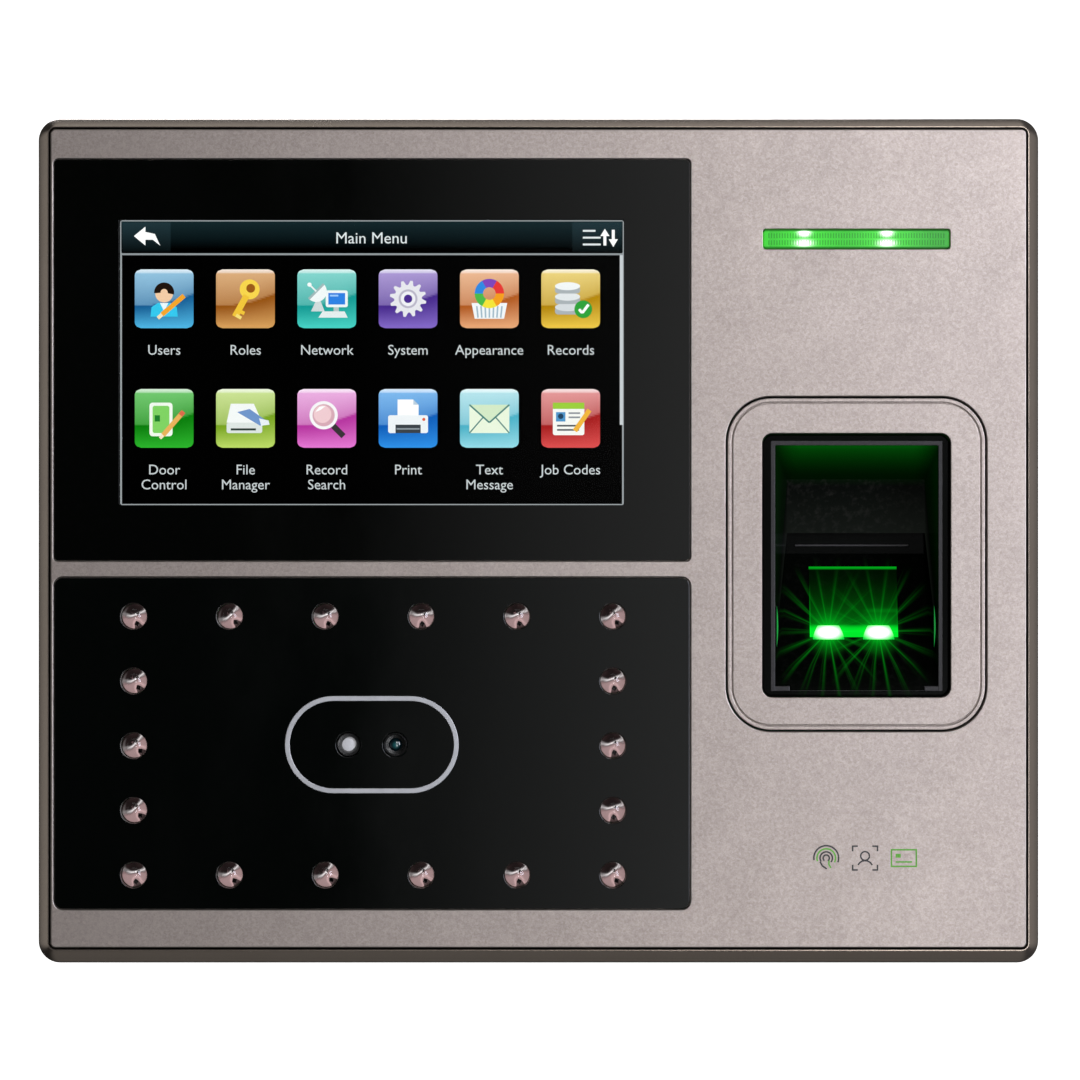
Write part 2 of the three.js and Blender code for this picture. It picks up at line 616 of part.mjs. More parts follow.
function addCaseScrews(face) {
  const { x, z, shankRadius, headRadius, headFront, headBack } = CASE_SCREW;
  corners(x, z).forEach(([left, up], index) => {
    const screw = panHeadScrew(shankRadius, headRadius, 8, headFront, headBack);
    addPart(face, `case_screw_${index + 1}`, 'steel', screw).position.set(left, 0, up);
  });
}

// ---------------------------------------------------------------- electronics on the wall side

function ethernetPort() {
  const body = slab(ETHERNET, CONNECTOR_FRONT, CONNECTOR_BACK, 1);
  const middle = (ETHERNET.left + ETHERNET.right) / 2;
  const socket = block([middle - 5.9, middle + 5.9], [CONNECTOR_BACK - 13.5, 0], [-22.9, -15]);
  const latchSlot = block([middle - 3.1, middle + 3.1], [CONNECTOR_BACK - 9, 0], [-15.5, -13.1]);
  return cut(body, socket, latchSlot);
}

function powerJack() {
  const x = (POWER.left + POWER.right) / 2;
  const z = (POWER.bottom + POWER.top) / 2;
  const body = slab(POWER, CONNECTOR_FRONT, CONNECTOR_BACK, 1);
  const socket = bar(3.3, x, z, CONNECTOR_BACK - 10, 0);
  const pin = bar(1, x, z, CONNECTOR_BACK - 11, CONNECTOR_BACK - 1.5, 10);
  return cut(body, cut(socket, pin));
}

function terminalBlock(bottom) {
  const { left, pitch, count, height } = TERMINALS;
  const body = block(
    [left, left + pitch * count], [CONNECTOR_FRONT, CONNECTOR_BACK], [bottom, bottom + height]);
  const holes = [];
  for (let way = 0; way < count; way += 1) {
    const x = left + pitch * (way + 0.5);
    holes.push(block([x - 1.3, x + 1.3], [CONNECTOR_BACK - 8, 0], [bottom + 1.2, bottom + 4]));
    holes.push(bar(1.25, x, bottom + 7.2, CONNECTOR_BACK - 1.6, 0, 6));
  }
  return cut(body, ...holes);
}

function usbPort() {
  const { front, back, bottom, top, mouth, tail } = USB;
  const shell = block([mouth, tail], [front, back], [bottom, top]);
  const socket = block([mouth - 1, mouth + 12], [front + 0.9, back - 0.9], [bottom + 0.8, top - 0.8]);
  const tongue = block([mouth + 1, mouth + 13], [front + 1.3, front + 3.2], [bottom + 1.4, top - 1.4]);
  return cut(shell, cut(socket, tongue));
}

// The flap hangs from its upper outer edge, which is its living hinge.
function usbCover() {
  const { front, back, bottom, top, thickness } = USB_COVER;
  const flap = block([WEDGE.left, WEDGE.left + thickness], [front, back], [bottom, top]);
  const pullTab = block([WEDGE.left, WEDGE.left + thickness], [-38, -34.8], [bottom - 1.4, bottom + 1]);
  return join(flap, pullTab);
}

function ioBoard() {
  const board = slab(IO_BOARD, IO_BOARD_FRONT, IO_BOARD_BACK, 2);
  const resetSwitch = block(
    [RESET.x - 3, RESET.x + 3], [IO_BOARD_BACK - 0.5, -36.6], [RESET.z - 3, RESET.z + 3]);
  return join(board, resetSwitch);
}

function addWallSideElectronics(group) {
  addPart(group, 'io_board', 'boardGreen', ioBoard());
  addPart(group, 'ethernet_port', 'steel', ethernetPort());
  addPart(group, 'power_jack', 'darkPlastic', powerJack());
  addPart(group, 'terminal_block_upper', 'terminalGreen', terminalBlock(TERMINALS.upper));
  addPart(group, 'terminal_block_lower', 'terminalGreen', terminalBlock(TERMINALS.lower));
  addPart(group, 'usb_port', 'steel', usbPort());
  addPart(group, 'usb_cover', 'rubber', usbCover());
  const buttonFront = -36;
  addPart(group, 'reset_button', 'darkPlastic', bar(1.7, RESET.x, RESET.z, buttonFront, -24.6, 12));
  const plungerFront = TAMPER_SWITCH_BACK + 1.5;
  const foot = bar(3.6, TAMPER.x, TAMPER.z, plungerFront, plungerFront + 1.5);
  const plunger = bar(2.5, TAMPER.x, TAMPER.z, plungerFront + 1, PLATE_FRONT - GAP);
  addPart(group, 'tamper_plunger', 'darkPlastic', join(foot, plunger));
  const switchBody = block([TAMPER.x - 3.1, TAMPER.x + 3.1], [CONNECTOR_FRONT, TAMPER_SWITCH_BACK],
    [TAMPER.z - 3.1, TAMPER.z + 3.1]);
  addPart(group, 'tamper_switch', 'darkPlastic', switchBody);
  const cone = cut(
    post(SPEAKER.radius, SPEAKER.x, SPEAKER.y, SPEAKER.bottom, SPEAKER.top, 20),
    post(SPEAKER.radius - 2, SPEAKER.x, SPEAKER.y, SPEAKER.bottom - 1, SPEAKER.bottom + 1, 20));
  addPart(group, 'speaker', 'darkPlastic', cone);
}

// ---------------------------------------------------------------- main board

function addMainBoard(face) {
  const board = { left: -84, right: 40, bottom: -74.5, top: 70, radius: 2 };
  addPart(face, 'main_board', 'boardGreen', slab(board, MAIN_BOARD_FRONT, MAIN_BOARD_BACK, 2));
  addPart(face, 'clock_battery', 'steel', bar(10, -55, 40, 16.5, MAIN_BOARD_FRONT - GAP, 24));
  const lcdRibbon = ribbon(-12, 14, 7.1, MAIN_BOARD_FRONT - GAP, 24, 40);
  addPart(face, 'lcd_ribbon', 'amberFilm', lcdRibbon);
  const boardRibbon = ribbon(-40, -20, SMALL_BOARD_BACK + GAP, MAIN_BOARD_FRONT - GAP, -45, -30);
  addPart(face, 'board_ribbon', 'amberFilm', boardRibbon);
}

// ---------------------------------------------------------------- wall plate

function wallPlate() {
  const sheet = slab(PLATE, PLATE_FRONT, 0);
  const hooks = [-HOOK.x, HOOK.x].flatMap((x) => {
    const across = [x - HOOK.width / 2, x + HOOK.width / 2];
    return [
      block(across, [HOOK.front, PLATE_FRONT + 0.5], [HOOK.bottom, HOOK.stemTop]),
      block(across, [HOOK.front, HOOK.lipBack], [HOOK.bottom, HOOK.lipTop]),
    ];
  });
  const { halfWidth, front, bottom, top } = FLANGE;
  const tab = block([-halfWidth, halfWidth], [PLATE_FRONT, 0], [bottom, PLATE.bottom + 2]);
  const flange = block([-halfWidth, halfWidth], [front, 0], [bottom, top]);
  const slots = WALL_SLOT.z.flatMap((z) => [-WALL_SLOT.x, WALL_SLOT.x].map((x) => slab({
    left: x - WALL_SLOT.width / 2,
    right: x + WALL_SLOT.width / 2,
    bottom: z - WALL_SLOT.length / 2,
    top: z + WALL_SLOT.length / 2,
    radius: WALL_SLOT.width / 2 - 0.01,
  }, PLATE_FRONT - 1, 1, 3)));
  return cut(join(sheet, ...hooks, tab, flange),
    slab(PLATE_WINDOW, PLATE_FRONT - 1, 1),
    ...slots,
    post(1.8, 0, SECURITY_SCREW_Y, bottom - 1, top + 1, 12));
}

function addWallPlate(group) {
  addPart(group, 'wall_plate', 'steel', wallPlate());
  const screw = addPart(group, 'security_screw', 'steel', panHeadScrew(1.5, 2.8, -10, 0, 1.8));
  screw.rotation.x = -Math.PI / 2;
  screw.position.set(0, SECURITY_SCREW_Y, FLANGE.bottom - GAP);
}

// ---------------------------------------------------------------- assembly

const terminal = new THREE.Group();
addWallPlate(terminal);
addPart(terminal, 'rear_case', 'darkPlastic', rearCase());
addWallSideElectronics(terminal);

const face = new THREE.Group();
face.rotation.x = -TILT;
face.position.copy(FACE_CENTRE);
terminal.add(face);

addPart(face, 'front_cover', 'champagnePaint', frontCover());
addPart(face, 'side_frame', 'bronzePaint', sideFrame());
addPart(face, 'touch_glass', 'blackGlass', slab(inset(SCREEN_POCKET, SLIT), 0.05, 1.8));
addPart(face, 'screen_gasket', 'rubber', screenGasket());
addPart(face, 'lcd_module', 'screenFace', lcdModule());
addCamerasAndLamps(face);
addLightBar(face);
addFingerprintReader(face);
addMainBoard(face);
addCaseScrews(face);

export default terminal;
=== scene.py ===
import json
import math

import bmesh
import bpy
from mathutils import Matrix, Vector
from mathutils.geometry import tessellate_polygon

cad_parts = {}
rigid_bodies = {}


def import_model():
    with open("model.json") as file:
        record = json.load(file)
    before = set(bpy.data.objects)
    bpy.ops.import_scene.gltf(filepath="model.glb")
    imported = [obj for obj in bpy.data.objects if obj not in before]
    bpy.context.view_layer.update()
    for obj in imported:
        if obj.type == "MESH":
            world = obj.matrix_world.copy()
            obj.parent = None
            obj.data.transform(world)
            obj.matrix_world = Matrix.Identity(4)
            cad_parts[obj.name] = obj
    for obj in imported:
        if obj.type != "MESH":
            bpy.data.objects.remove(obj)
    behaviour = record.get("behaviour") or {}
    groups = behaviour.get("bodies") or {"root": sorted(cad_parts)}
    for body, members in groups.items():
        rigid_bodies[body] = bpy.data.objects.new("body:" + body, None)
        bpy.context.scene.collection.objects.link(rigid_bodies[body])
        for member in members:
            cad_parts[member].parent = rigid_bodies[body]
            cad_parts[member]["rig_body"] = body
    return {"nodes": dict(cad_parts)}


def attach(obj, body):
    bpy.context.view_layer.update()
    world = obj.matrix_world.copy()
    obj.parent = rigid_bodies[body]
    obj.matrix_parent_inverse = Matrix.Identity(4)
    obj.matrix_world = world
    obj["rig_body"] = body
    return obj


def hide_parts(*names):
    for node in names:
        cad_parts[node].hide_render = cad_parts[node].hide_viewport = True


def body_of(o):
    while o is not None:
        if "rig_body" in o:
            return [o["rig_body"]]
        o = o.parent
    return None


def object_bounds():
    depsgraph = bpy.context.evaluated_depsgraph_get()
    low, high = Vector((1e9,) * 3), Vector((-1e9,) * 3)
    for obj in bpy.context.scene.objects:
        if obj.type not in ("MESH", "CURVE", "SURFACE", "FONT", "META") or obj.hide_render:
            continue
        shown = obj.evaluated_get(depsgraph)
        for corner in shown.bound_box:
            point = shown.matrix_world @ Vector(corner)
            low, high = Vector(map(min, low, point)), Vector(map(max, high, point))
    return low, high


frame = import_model()
cad_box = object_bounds()

# ------------------------------------------------------------------ measures

MM = 0.001
TILT = math.radians(15)
FACE_CENTRE = Vector((0.0, -64.85, 16.0))
ON_WALL = Matrix.Scale(MM, 4)
ON_FACE = ON_WALL @ Matrix.Translation(FACE_CENTRE) @ Matrix.Rotation(-TILT, 4, "X")
UPRIGHT = Matrix.Rotation(math.radians(90), 4, "X")

VIEW_DISTANCE = 1159.2
VIEW_ASIDE = (0.3, 0.15)
LENS = 200

# The sensor's two lamps: where each is across the face, and how high both are.
LAMP_SPOTS = (56.45, 66.2)
SPOT_HEIGHT = -17.7
# The display's dots are this far apart.
SCREEN_DOT = 0.2033

GREEN = (0.0, 1.0, 0.03)
BLACK = (0.0, 0.0, 0.0, 1.0)
WHITE = (1.0, 1.0, 1.0, 1.0)


def face_box(node):
    """Lowest and highest x, depth and z of a CAD node, in face millimetres."""
    back = ON_FACE.inverted()
    points = [back @ v.co for v in frame["nodes"][node].data.vertices]
    low = Vector(min(p[axis] for p in points) for axis in range(3))
    high = Vector(max(p[axis] for p in points) for axis in range(3))
    return low, high


def face_middle(node):
    low, high = face_box(node)
    return (low + high) / 2


def face_area(node):
    """Left, right, bottom and top of a node on the face."""
    low, high = face_box(node)
    return low.x, high.x, low.z, high.z


def grown(area, by):
    left, right, bottom, top = area
    return left - by, right + by, bottom - by, top + by


def between(first, second, share):
    return tuple(a + (b - a) * share for a, b in zip(first, second))


# ------------------------------------------------------------------ outlines

# An outline is a function of how far it is grown, so that edges can be rounded off.


def rounded(area, radius, steps=10):
    left, right, bottom, top = area

    def outline(grow=0.0):
        r = max(radius + grow, 0.05)
        centres = (
            (right + grow - r, bottom - grow + r),
            (right + grow - r, top + grow - r),
            (left - grow + r, top + grow - r),
            (left - grow + r, bottom - grow + r),
        )
        points = []
        for corner, (x, z) in enumerate(centres):
            for step in range(steps + 1):
                angle = math.pi / 2 * (corner - 1 + step / steps)
                points.append((x + r * math.cos(angle), z + r * math.sin(angle)))
        return points

    return outline


def stadium(x, z, half_straight, radius):
    area = (x - half_straight - radius, x + half_straight + radius, z - radius, z + radius)
    return rounded(area, radius - 0.001, 16)


def disc(x, z, radius, steps=36):
    def outline(grow=0.0):
        turns = [2 * math.pi * step / steps for step in range(steps)]
        r = radius + grow
        return [(x + r * math.cos(a), z + r * math.sin(a)) for a in turns]

    return outline


# ------------------------------------------------------------------ piece maker


class Piece:
    """One piece's mesh while it is made, in millimetres as (x, depth, z)."""

    def __init__(self, name):
        self.name = name
        self.glow = None
        self.bm = bmesh.new()

    def ring(self, points, depth):
        return [self.bm.verts.new((x, depth, z)) for x, z in points]

    def face(self, verts, finish=0, smooth=True):
        made = self.bm.faces.new(verts)
        made.material_index = finish
        made.smooth = smooth
        return made

    def bridge(self, rings, finish=0):
        for first, second in zip(rings, rings[1:]):
            for i, vert in enumerate(first):
                after = (i + 1) % len(first)
                self.face((vert, first[after], second[after], second[i]), finish)

    def cap(self, loops, finish=0):
        flat = [[Vector((v.co.x, v.co.z, 0)) for v in loop] for loop in loops]
        verts = [v for loop in loops for v in loop]
        for triangle in tessellate_polygon(flat):
            self.face([verts[i] for i in triangle], finish, smooth=False)

    def plate(self, outline, front, back, holes=(), edge=0.0, back_edge=0.0, finish=0, rim=None):
        """A flat plate with holes. Its front and back rims are rounded by edge and back_edge."""
        fronts, backs = [], []
        for shape, side in [(outline, -1)] + [(hole, 1) for hole in holes]:
            near = [self.ring(shape(side * s), d) for s, d in rim_levels(front, edge, 1)]
            far = [self.ring(shape(side * s), d) for s, d in rim_levels(back, back_edge, -1)[::-1]]
            self.bridge(near, finish if rim is None else rim)
            self.bridge([near[-1]] + far, finish)
            fronts.append(near[0])
            backs.append(far[-1])
        self.cap(fronts, finish)
        self.cap(backs, finish)
        return self

    def band(self, rings, finish=0):
        """A closed hoop through rings of (outline points, depth), the last joined to the first."""
        made = [self.ring(points, depth) for points, depth in rings]
        self.bridge(made + made[:1], finish)
        return self

    def turned(self, profile, x=0.0, z=0.0, steps=32, finish=0):
        """A body turned about the line into the face at (x, z), from (radius, depth) pairs."""
        rings = []
        for radius, depth in profile:
            if radius < 1e-6:
                rings.append([self.bm.verts.new((x, depth, z))])
            else:
                rings.append(self.ring(disc(x, z, radius, steps)(), depth))
        for first, second in zip(rings, rings[1:]):
            if len(first) == 1 or len(second) == 1:
                tip, hoop = (first[0], second) if len(first) == 1 else (second[0], first)
                for i, vert in enumerate(hoop):
                    self.face((tip, vert, hoop[(i + 1) % steps]), finish)
            else:
                self.bridge([first, second], finish)
        return self

    def block(self, low, high, edge=0.0, finish=0):
        made = bmesh.ops.create_cube(self.bm, size=1)["verts"]
        middle = [(a + b) / 2 for a, b in zip(low, high)]
        for vert in made:
            vert.co = [m + c * (b - a) for m, c, a, b in zip(middle, vert.co, low, high)]
        faces = dict.fromkeys(f for v in made for f in v.link_faces)
        for made_face in faces:
            made_face.material_index = finish
        if edge:
            edges = list(dict.fromkeys(e for f in faces for e in f.edges))
            bmesh.ops.bevel(
                self.bm, geom=edges, offset=edge, segments=2, profile=0.5, affect="EDGES")
        return self

    def sheet(self, columns, rows, point, finish=0, smooth=True):
        """An open patch through point(across, along), both from 0 to 1. Gives back its rows."""
        grid = [[self.bm.verts.new(point(i / columns, j / rows)) for i in range(columns + 1)]
                for j in range(rows + 1)]
        for low, high in zip(grid, grid[1:]):
            for i in range(columns):
                self.face((low[i], low[i + 1], high[i + 1], high[i]), finish, smooth)
        return grid

    def slab(self, columns, rows, near, far, finish=0):
        """A closed patch between two surfaces, each given as point(across, along), from 0 to 1."""
        edges = []
        for point in (near, far):
            grid = self.sheet(columns, rows, point, finish)
            edges.append(
                grid[0][:-1] + [line[-1] for line in grid[:-1]] + grid[-1][:0:-1]
                + [line[0] for line in grid[:0:-1]])
        self.bridge(edges, finish)
        return self

    def ribbon(self, points, width, finish=0, front=-0.02, back=0.0):
        """A flat line of that width through the points, such as a printed stroke."""
        sides = []
        for i, (x, z) in enumerate(points):
            before, after = points[max(i - 1, 0)], points[min(i + 1, len(points) - 1)]
            ways = [Vector((x - before[0], z - before[1])), Vector((after[0] - x, after[1] - z))]
            ways = [way.normalized() for way in ways if way.length > 1e-6]
            along = sum(ways, Vector((0.0, 0.0))).normalized()
            reach = width / 2 / max(abs(along.dot(ways[0])), 0.4)
            aside = (-along.y * reach, along.x * reach)
            sides.append(((x + aside[0], z + aside[1]), (x - aside[0], z - aside[1])))
        rings = []
        for left, right in sides:
            corners = ((left, front), (right, front), (right, back), (left, back))
            rings.append([self.bm.verts.new((x, depth, z)) for (x, z), depth in corners])
        self.bridge(rings, finish)
        self.face(rings[0], finish)
        self.face(rings[-1], finish)
        return self

    def mesh(self, place):
        bmesh.ops.recalc_face_normals(self.bm, faces=self.bm.faces)
        mesh = bpy.data.meshes.new(self.name)
        self.bm.to_mesh(mesh)
        self.bm.free()
        mark_creases(mesh)
        if self.glow:
            paint(mesh, Matrix.Identity(4), self.glow)
        mesh.transform(place)
        return mesh

    def done(self, slot, finishes, replaces=(), glow=None):
        """Puts the piece on the terminal's face."""
        self.glow = glow
        settle(self.name, self.mesh(ON_FACE), "terminal", finishes, replaces)


def paint(mesh, place, glow):
    """Writes the light that glow(x, depth, z) gives at each point, measured before its place."""
    layer = mesh.attributes.new("glow", "FLOAT_COLOR", "POINT")
    back = place.inverted()
    for vert, shade in zip(mesh.vertices, layer.data):
        shade.color = (*glow(*(back @ vert.co)), 1.0)


def rim_levels(depth, edge, inward):
    """Steps of (shrink, depth) round a rim of that radius, from its flat to its side."""
    if not edge:
        return [(0.0, depth)]
    turns = [math.pi / 2 * step / 4 for step in range(5)]
    return [(edge * (1 - math.sin(a)), depth + inward * edge * (1 - math.cos(a))) for a in turns]


def mark_creases(mesh, degrees=32):
    """Keeps edges sharper than the angle crisp on smooth faces."""
    bm = bmesh.new()
    bm.from_mesh(mesh)
    for edge in bm.edges:
        edge.smooth = edge.calc_face_angle(0.0) < math.radians(degrees)
    bm.to_mesh(mesh)
    bm.free()


def linked(name, data):
    made = bpy.data.objects.new(name, data)
    bpy.context.scene.collection.objects.link(made)
    return made


def settle(name, mesh, body, finishes, replaces=()):
    """Makes the object, gives it its finishes and fastens it to its body."""
    piece = linked(name, mesh)
    for finish in finishes:
        mesh.materials.append(FINISH[finish])
    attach(piece, body)
    if replaces:
        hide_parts(*replaces)


def evaluated_mesh(source):
    bpy.context.view_layer.update()
    graph = bpy.context.evaluated_depsgraph_get()
    return bpy.data.meshes.new_from_object(source.evaluated_get(graph))


# ------------------------------------------------------------------ node graphs


class Graph:
    """Short ways to add and join nodes in one tree."""

    def __init__(self, tree):
        self.tree = tree

    def add(self, kind, inputs=None, **settings):
        node = self.tree.nodes.new(kind)
        for key, value in settings.items():
            setattr(node, key, value)
        for key, value in (inputs or {}).items():
            self.put(value, node.inputs[key])
        return node

    def put(self, value, socket):
        if isinstance(value, bpy.types.NodeSocket):
            self.tree.links.new(value, socket)
        else:
            socket.default_value = value

    def where(self):
        return self.add("ShaderNodeTexCoord").outputs["Object"]

    def maths(self, operation, first, second=0.0):
        return self.add("ShaderNodeMath", {0: first, 1: second}, operation=operation).outputs[0]

    def plus(self, first, second):
        return self.maths("ADD", first, second)

    def minus(self, first, second):
        return self.maths("SUBTRACT", first, second)

    def times(self, first, second):
        return self.maths("MULTIPLY", first, second)

    def over(self, first, second):
        return self.maths("DIVIDE", first, second)

    def power(self, first, second):
        return self.maths("POWER", first, second)

    def span(self, value, low, high, out_low=0.0, out_high=1.0):
        node = self.add("ShaderNodeMapRange", {0: value, 1: low, 2: high, 3: out_low, 4: out_high})
        return node.outputs[0]

    def blend(self, share, first, second, how="MIX"):
        """A mix of two colours."""
        node = self.add("ShaderNodeMix", data_type="RGBA", blend_type=how)
        for value, index in ((share, 0), (first, 6), (second, 7)):
            self.put(value, node.inputs[index])
        return node.outputs[2]

    def noise(self, where, scale, detail=2.0, roughness=0.5):
        values = {"Vector": where, "Scale": scale, "Detail": detail, "Roughness": roughness}
        return self.add("ShaderNodeTexNoise", values).outputs["Fac"]


# ------------------------------------------------------------------ repeating parts


def repeat_tree():
    """Geometry nodes that set a part on the points of a grid, or only on the grid's rim."""
    tree = bpy.data.node_groups.new("set_on_grid", "GeometryNodeTree")
    sockets = (
        ("Part", "Object"), ("Columns", "Int"), ("Rows", "Int"), ("Pitch Across", "Float"),
        ("Pitch Up", "Float"), ("Rim Only", "Float"), ("Turn Range", "Float"),
        ("Turn Seed", "Int"), ("Finish", "Material"),
    )
    for label, kind in sockets:
        tree.interface.new_socket(name=label, in_out="INPUT", socket_type="NodeSocket" + kind)
    tree.interface.new_socket(name="Geometry", in_out="OUTPUT", socket_type="NodeSocketGeometry")
    g = Graph(tree)
    given = g.add("NodeGroupInput").outputs
    spans = [g.times(g.minus(given["Columns"], 1), given["Pitch Across"]),
             g.times(g.minus(given["Rows"], 1), given["Pitch Up"])]
    grid = g.add("GeometryNodeMeshGrid", {
        "Size X": spans[0], "Size Y": spans[1],
        "Vertices X": given["Columns"], "Vertices Y": given["Rows"]})
    where = g.add("GeometryNodeInputPosition").outputs[0]
    place = g.add("ShaderNodeSeparateXYZ", {0: where}).outputs
    inside = []
    for axis, span in enumerate(spans):
        limit = g.minus(g.times(span, 0.5), 0.01)
        inside.append(g.maths("LESS_THAN", g.maths("ABSOLUTE", place[axis]), limit))
    dropped = g.times(g.times(*inside), given["Rim Only"])
    kept = g.add("GeometryNodeDeleteGeometry", {
        "Geometry": grid.outputs["Mesh"], "Selection": g.maths("GREATER_THAN", dropped, 0.5)})
    part = g.add("GeometryNodeObjectInfo", {"Object": given["Part"]})
    turn = g.add("FunctionNodeRandomValue", data_type="FLOAT")
    g.put(given["Turn Range"], turn.inputs[3])
    g.put(given["Turn Seed"], turn.inputs["Seed"])
    copies = g.add("GeometryNodeInstanceOnPoints", {
        "Points": kept.outputs[0], "Instance": part.outputs["Geometry"],
        "Rotation": g.add("ShaderNodeCombineXYZ", {2: turn.outputs[1]}).outputs[0]})
    real = g.add("GeometryNodeRealizeInstances", {0: copies.outputs[0]})
    coat = g.add("GeometryNodeSetMaterial", {
        "Geometry": real.outputs[0], "Material": given["Finish"]})
    g.add("NodeGroupOutput", {0: coat.outputs[0]})
    return tree


SET_ON_GRID = repeat_tree()


def repeated(part, columns, rows, pitch, finish, place, rim_only=0.0, turn=0.0):
    """A plain mesh of a Piece drawn about (0, 0), set on a grid that place puts in the row."""
    source = linked(part.name + "_single", part.mesh(UPRIGHT))
    carrier = linked(part.name + "_grid", bpy.data.meshes.new(part.name))
    modifier = carrier.modifiers.new("set on grid", "NODES")
    modifier.node_group = SET_ON_GRID
    values = {
        "Part": source, "Columns": columns, "Rows": rows, "Pitch Across": pitch[0],
        "Pitch Up": pitch[1], "Rim Only": rim_only, "Turn Range": turn, "Turn Seed": 7,
        "Finish": FINISH[finish],
    }
    for item in SET_ON_GRID.interface.items_tree:
        if item.in_out == "INPUT":
            modifier[item.identifier] = values[item.name]
    mesh = evaluated_mesh(carrier)
    for helper in (carrier, source):
        bpy.data.objects.remove(helper)
    mesh.materials.clear()
    mesh.transform(place @ UPRIGHT.inverted())
    mark_creases(mesh)
    return mesh


# ------------------------------------------------------------------ shader effects


def effect(name, inputs, outputs):
    """An empty shader node group and its ends. inputs are (name, default), outputs (name, kind)."""
    tree = bpy.data.node_groups.new(name, "ShaderNodeTree")
    for label, default in inputs:
        kind = "NodeSocketColor" if isinstance(default, tuple) else "NodeSocketFloat"
        socket = tree.interface.new_socket(name=label, in_out="INPUT", socket_type=kind)
        socket.default_value = default
    for label, kind in outputs:
        tree.interface.new_socket(name=label, in_out="OUTPUT", socket_type=kind)
    return tree, tree.nodes.new("NodeGroupInput").outputs, tree.nodes.new("NodeGroupOutput").inputs


def colour(text):
    """Linear red, green, blue and alpha from a #rrggbb shade."""
    parts = [int(text[i:i + 2], 16) / 255 for i in (1, 3, 5)]
    linear = [c / 12.92 if c <= 0.04045 else ((c + 0.055) / 1.055) ** 2.4 for c in parts]
    return (*linear, 1.0)


def mixed(first, second, share):
    return between(first, second, min(max(share, 0.0), 1.0))


def flake_effect():
    """Metal flakes in paint: a tint that sparkles from flake to flake, and a fine height."""
    tree, given, out = effect(
        "metal_flakes", (("Flake Size", 0.2), ("Cloud Size", 9.0), ("Strength", 1.0)),
        (("Tint", "NodeSocketFloat"), ("Height", "NodeSocketFloat")))
    g = Graph(tree)
    where = g.where()
    layers = []
    for fineness, channel in ((1000.0, 0), (420.0, 1)):
        scale = g.over(fineness, given[0])
        cells = g.add("ShaderNodeTexVoronoi", {"Vector": where, "Scale": scale})
        parts = g.add("ShaderNodeSeparateColor", {0: cells.outputs["Color"]}).outputs
        layers.append(parts[channel])
    cloud = g.noise(where, g.over(1000.0, given[1]), 3.0)
    flakes = g.plus(g.times(layers[0], 0.55), g.times(layers[1], 0.45))
    sparkle = g.times(g.minus(flakes, 0.5), given[2])
    drift = g.times(g.minus(cloud, 0.5), 0.3)
    g.put(g.plus(g.plus(sparkle, drift), 0.5), out[0])
    g.put(flakes, out[1])
    return tree


def grain_effect():
    """The spark-eroded texture of a moulded case: height, and a mask of its shinier tops."""
    tree, given, out = effect(
        "mould_grain", (("Grain Size", 0.5),),
        (("Height", "NodeSocketFloat"), ("Tops", "NodeSocketFloat")))
    g = Graph(tree)
    where = g.where()
    scale = g.over(1000.0, given[0])
    cells = g.add("ShaderNodeTexVoronoi", {"Vector": where, "Scale": scale}, feature="SMOOTH_F1")
    rough = g.times(g.noise(where, scale, 4.0, 0.6), 0.7)
    height = g.plus(rough, g.times(cells.outputs[0], 0.3))
    g.put(height, out[0])
    g.put(g.span(height, 0.42, 0.62), out[1])
    return tree


def handling_effect():
    """Faint smears and dust of use: a mask of rubbed places and one of settled dust."""
    tree, given, out = effect(
        "handling", (("Smear Size", 30.0), ("Dust Size", 1.2)),
        (("Smears", "NodeSocketFloat"), ("Dust", "NodeSocketFloat")))
    g = Graph(tree)
    where = g.where()
    stretched = g.add("ShaderNodeMapping", {"Vector": where, "Scale": (1.0, 1.0, 0.45)}).outputs[0]
    broad = g.noise(stretched, g.over(1000.0, given[0]), 4.0, 0.6)
    specks = g.noise(where, g.over(1000.0, given[1]), 2.0, 0.7)
    facing = g.add("ShaderNodeSeparateXYZ", {0: g.add("ShaderNodeNewGeometry").outputs["Normal"]})
    upward = g.span(facing.outputs[2], 0.2, 1.0, 0.12, 0.9)
    g.put(g.span(broad, 0.42, 0.7), out[0])
    g.put(g.times(g.span(specks, 0.5, 0.75), upward), out[1])
    return tree


def ray_effect():
    """Light that streams from the sensor's two lamps over what is round them."""
    tree, given, out = effect(
        "lamp_rays", (("Reach", 13.0), ("Halo", 5.5)), (("Rays", "NodeSocketFloat"),))
    g = Graph(tree)
    where = g.where()
    lamp_depth, spokes, unevenness, halo_share = 9.0, 18.0, 3.1, 2.2
    total = None
    for x in LAMP_SPOTS:
        centre = ON_FACE @ Vector((x, lamp_depth, SPOT_HEIGHT))
        away = g.add("ShaderNodeVectorMath", {0: where, 1: centre}, operation="SUBTRACT").outputs[0]
        parts = g.add("ShaderNodeSeparateXYZ", {0: away}).outputs
        gap = g.maths("SQRT", g.plus(g.power(parts[0], 2.0), g.power(parts[2], 2.0)))
        angle = g.maths("ARCTAN2", parts[2], parts[0])
        wave = g.span(g.maths("COSINE", g.times(angle, spokes)), -1.0, 1.0)
        uneven = g.add(
            "ShaderNodeTexNoise", {"W": g.times(angle, unevenness), "Detail": 2.0},
            noise_dimensions="1D").outputs["Fac"]
        streaks = g.times(g.power(wave, 5.0), g.span(uneven, 0.38, 0.65, 0.08, 0.95))
        far = g.power(g.span(gap, 0.0, g.times(given[0], MM), 1.0, 0.0), 2.0)
        near = g.power(g.span(gap, 0.0, g.times(given[1], MM), 1.0, 0.0), 3.0)
        both = g.plus(g.times(streaks, far), g.times(near, halo_share))
        total = both if total is None else g.plus(total, both)
    g.put(total, out[0])
    return tree


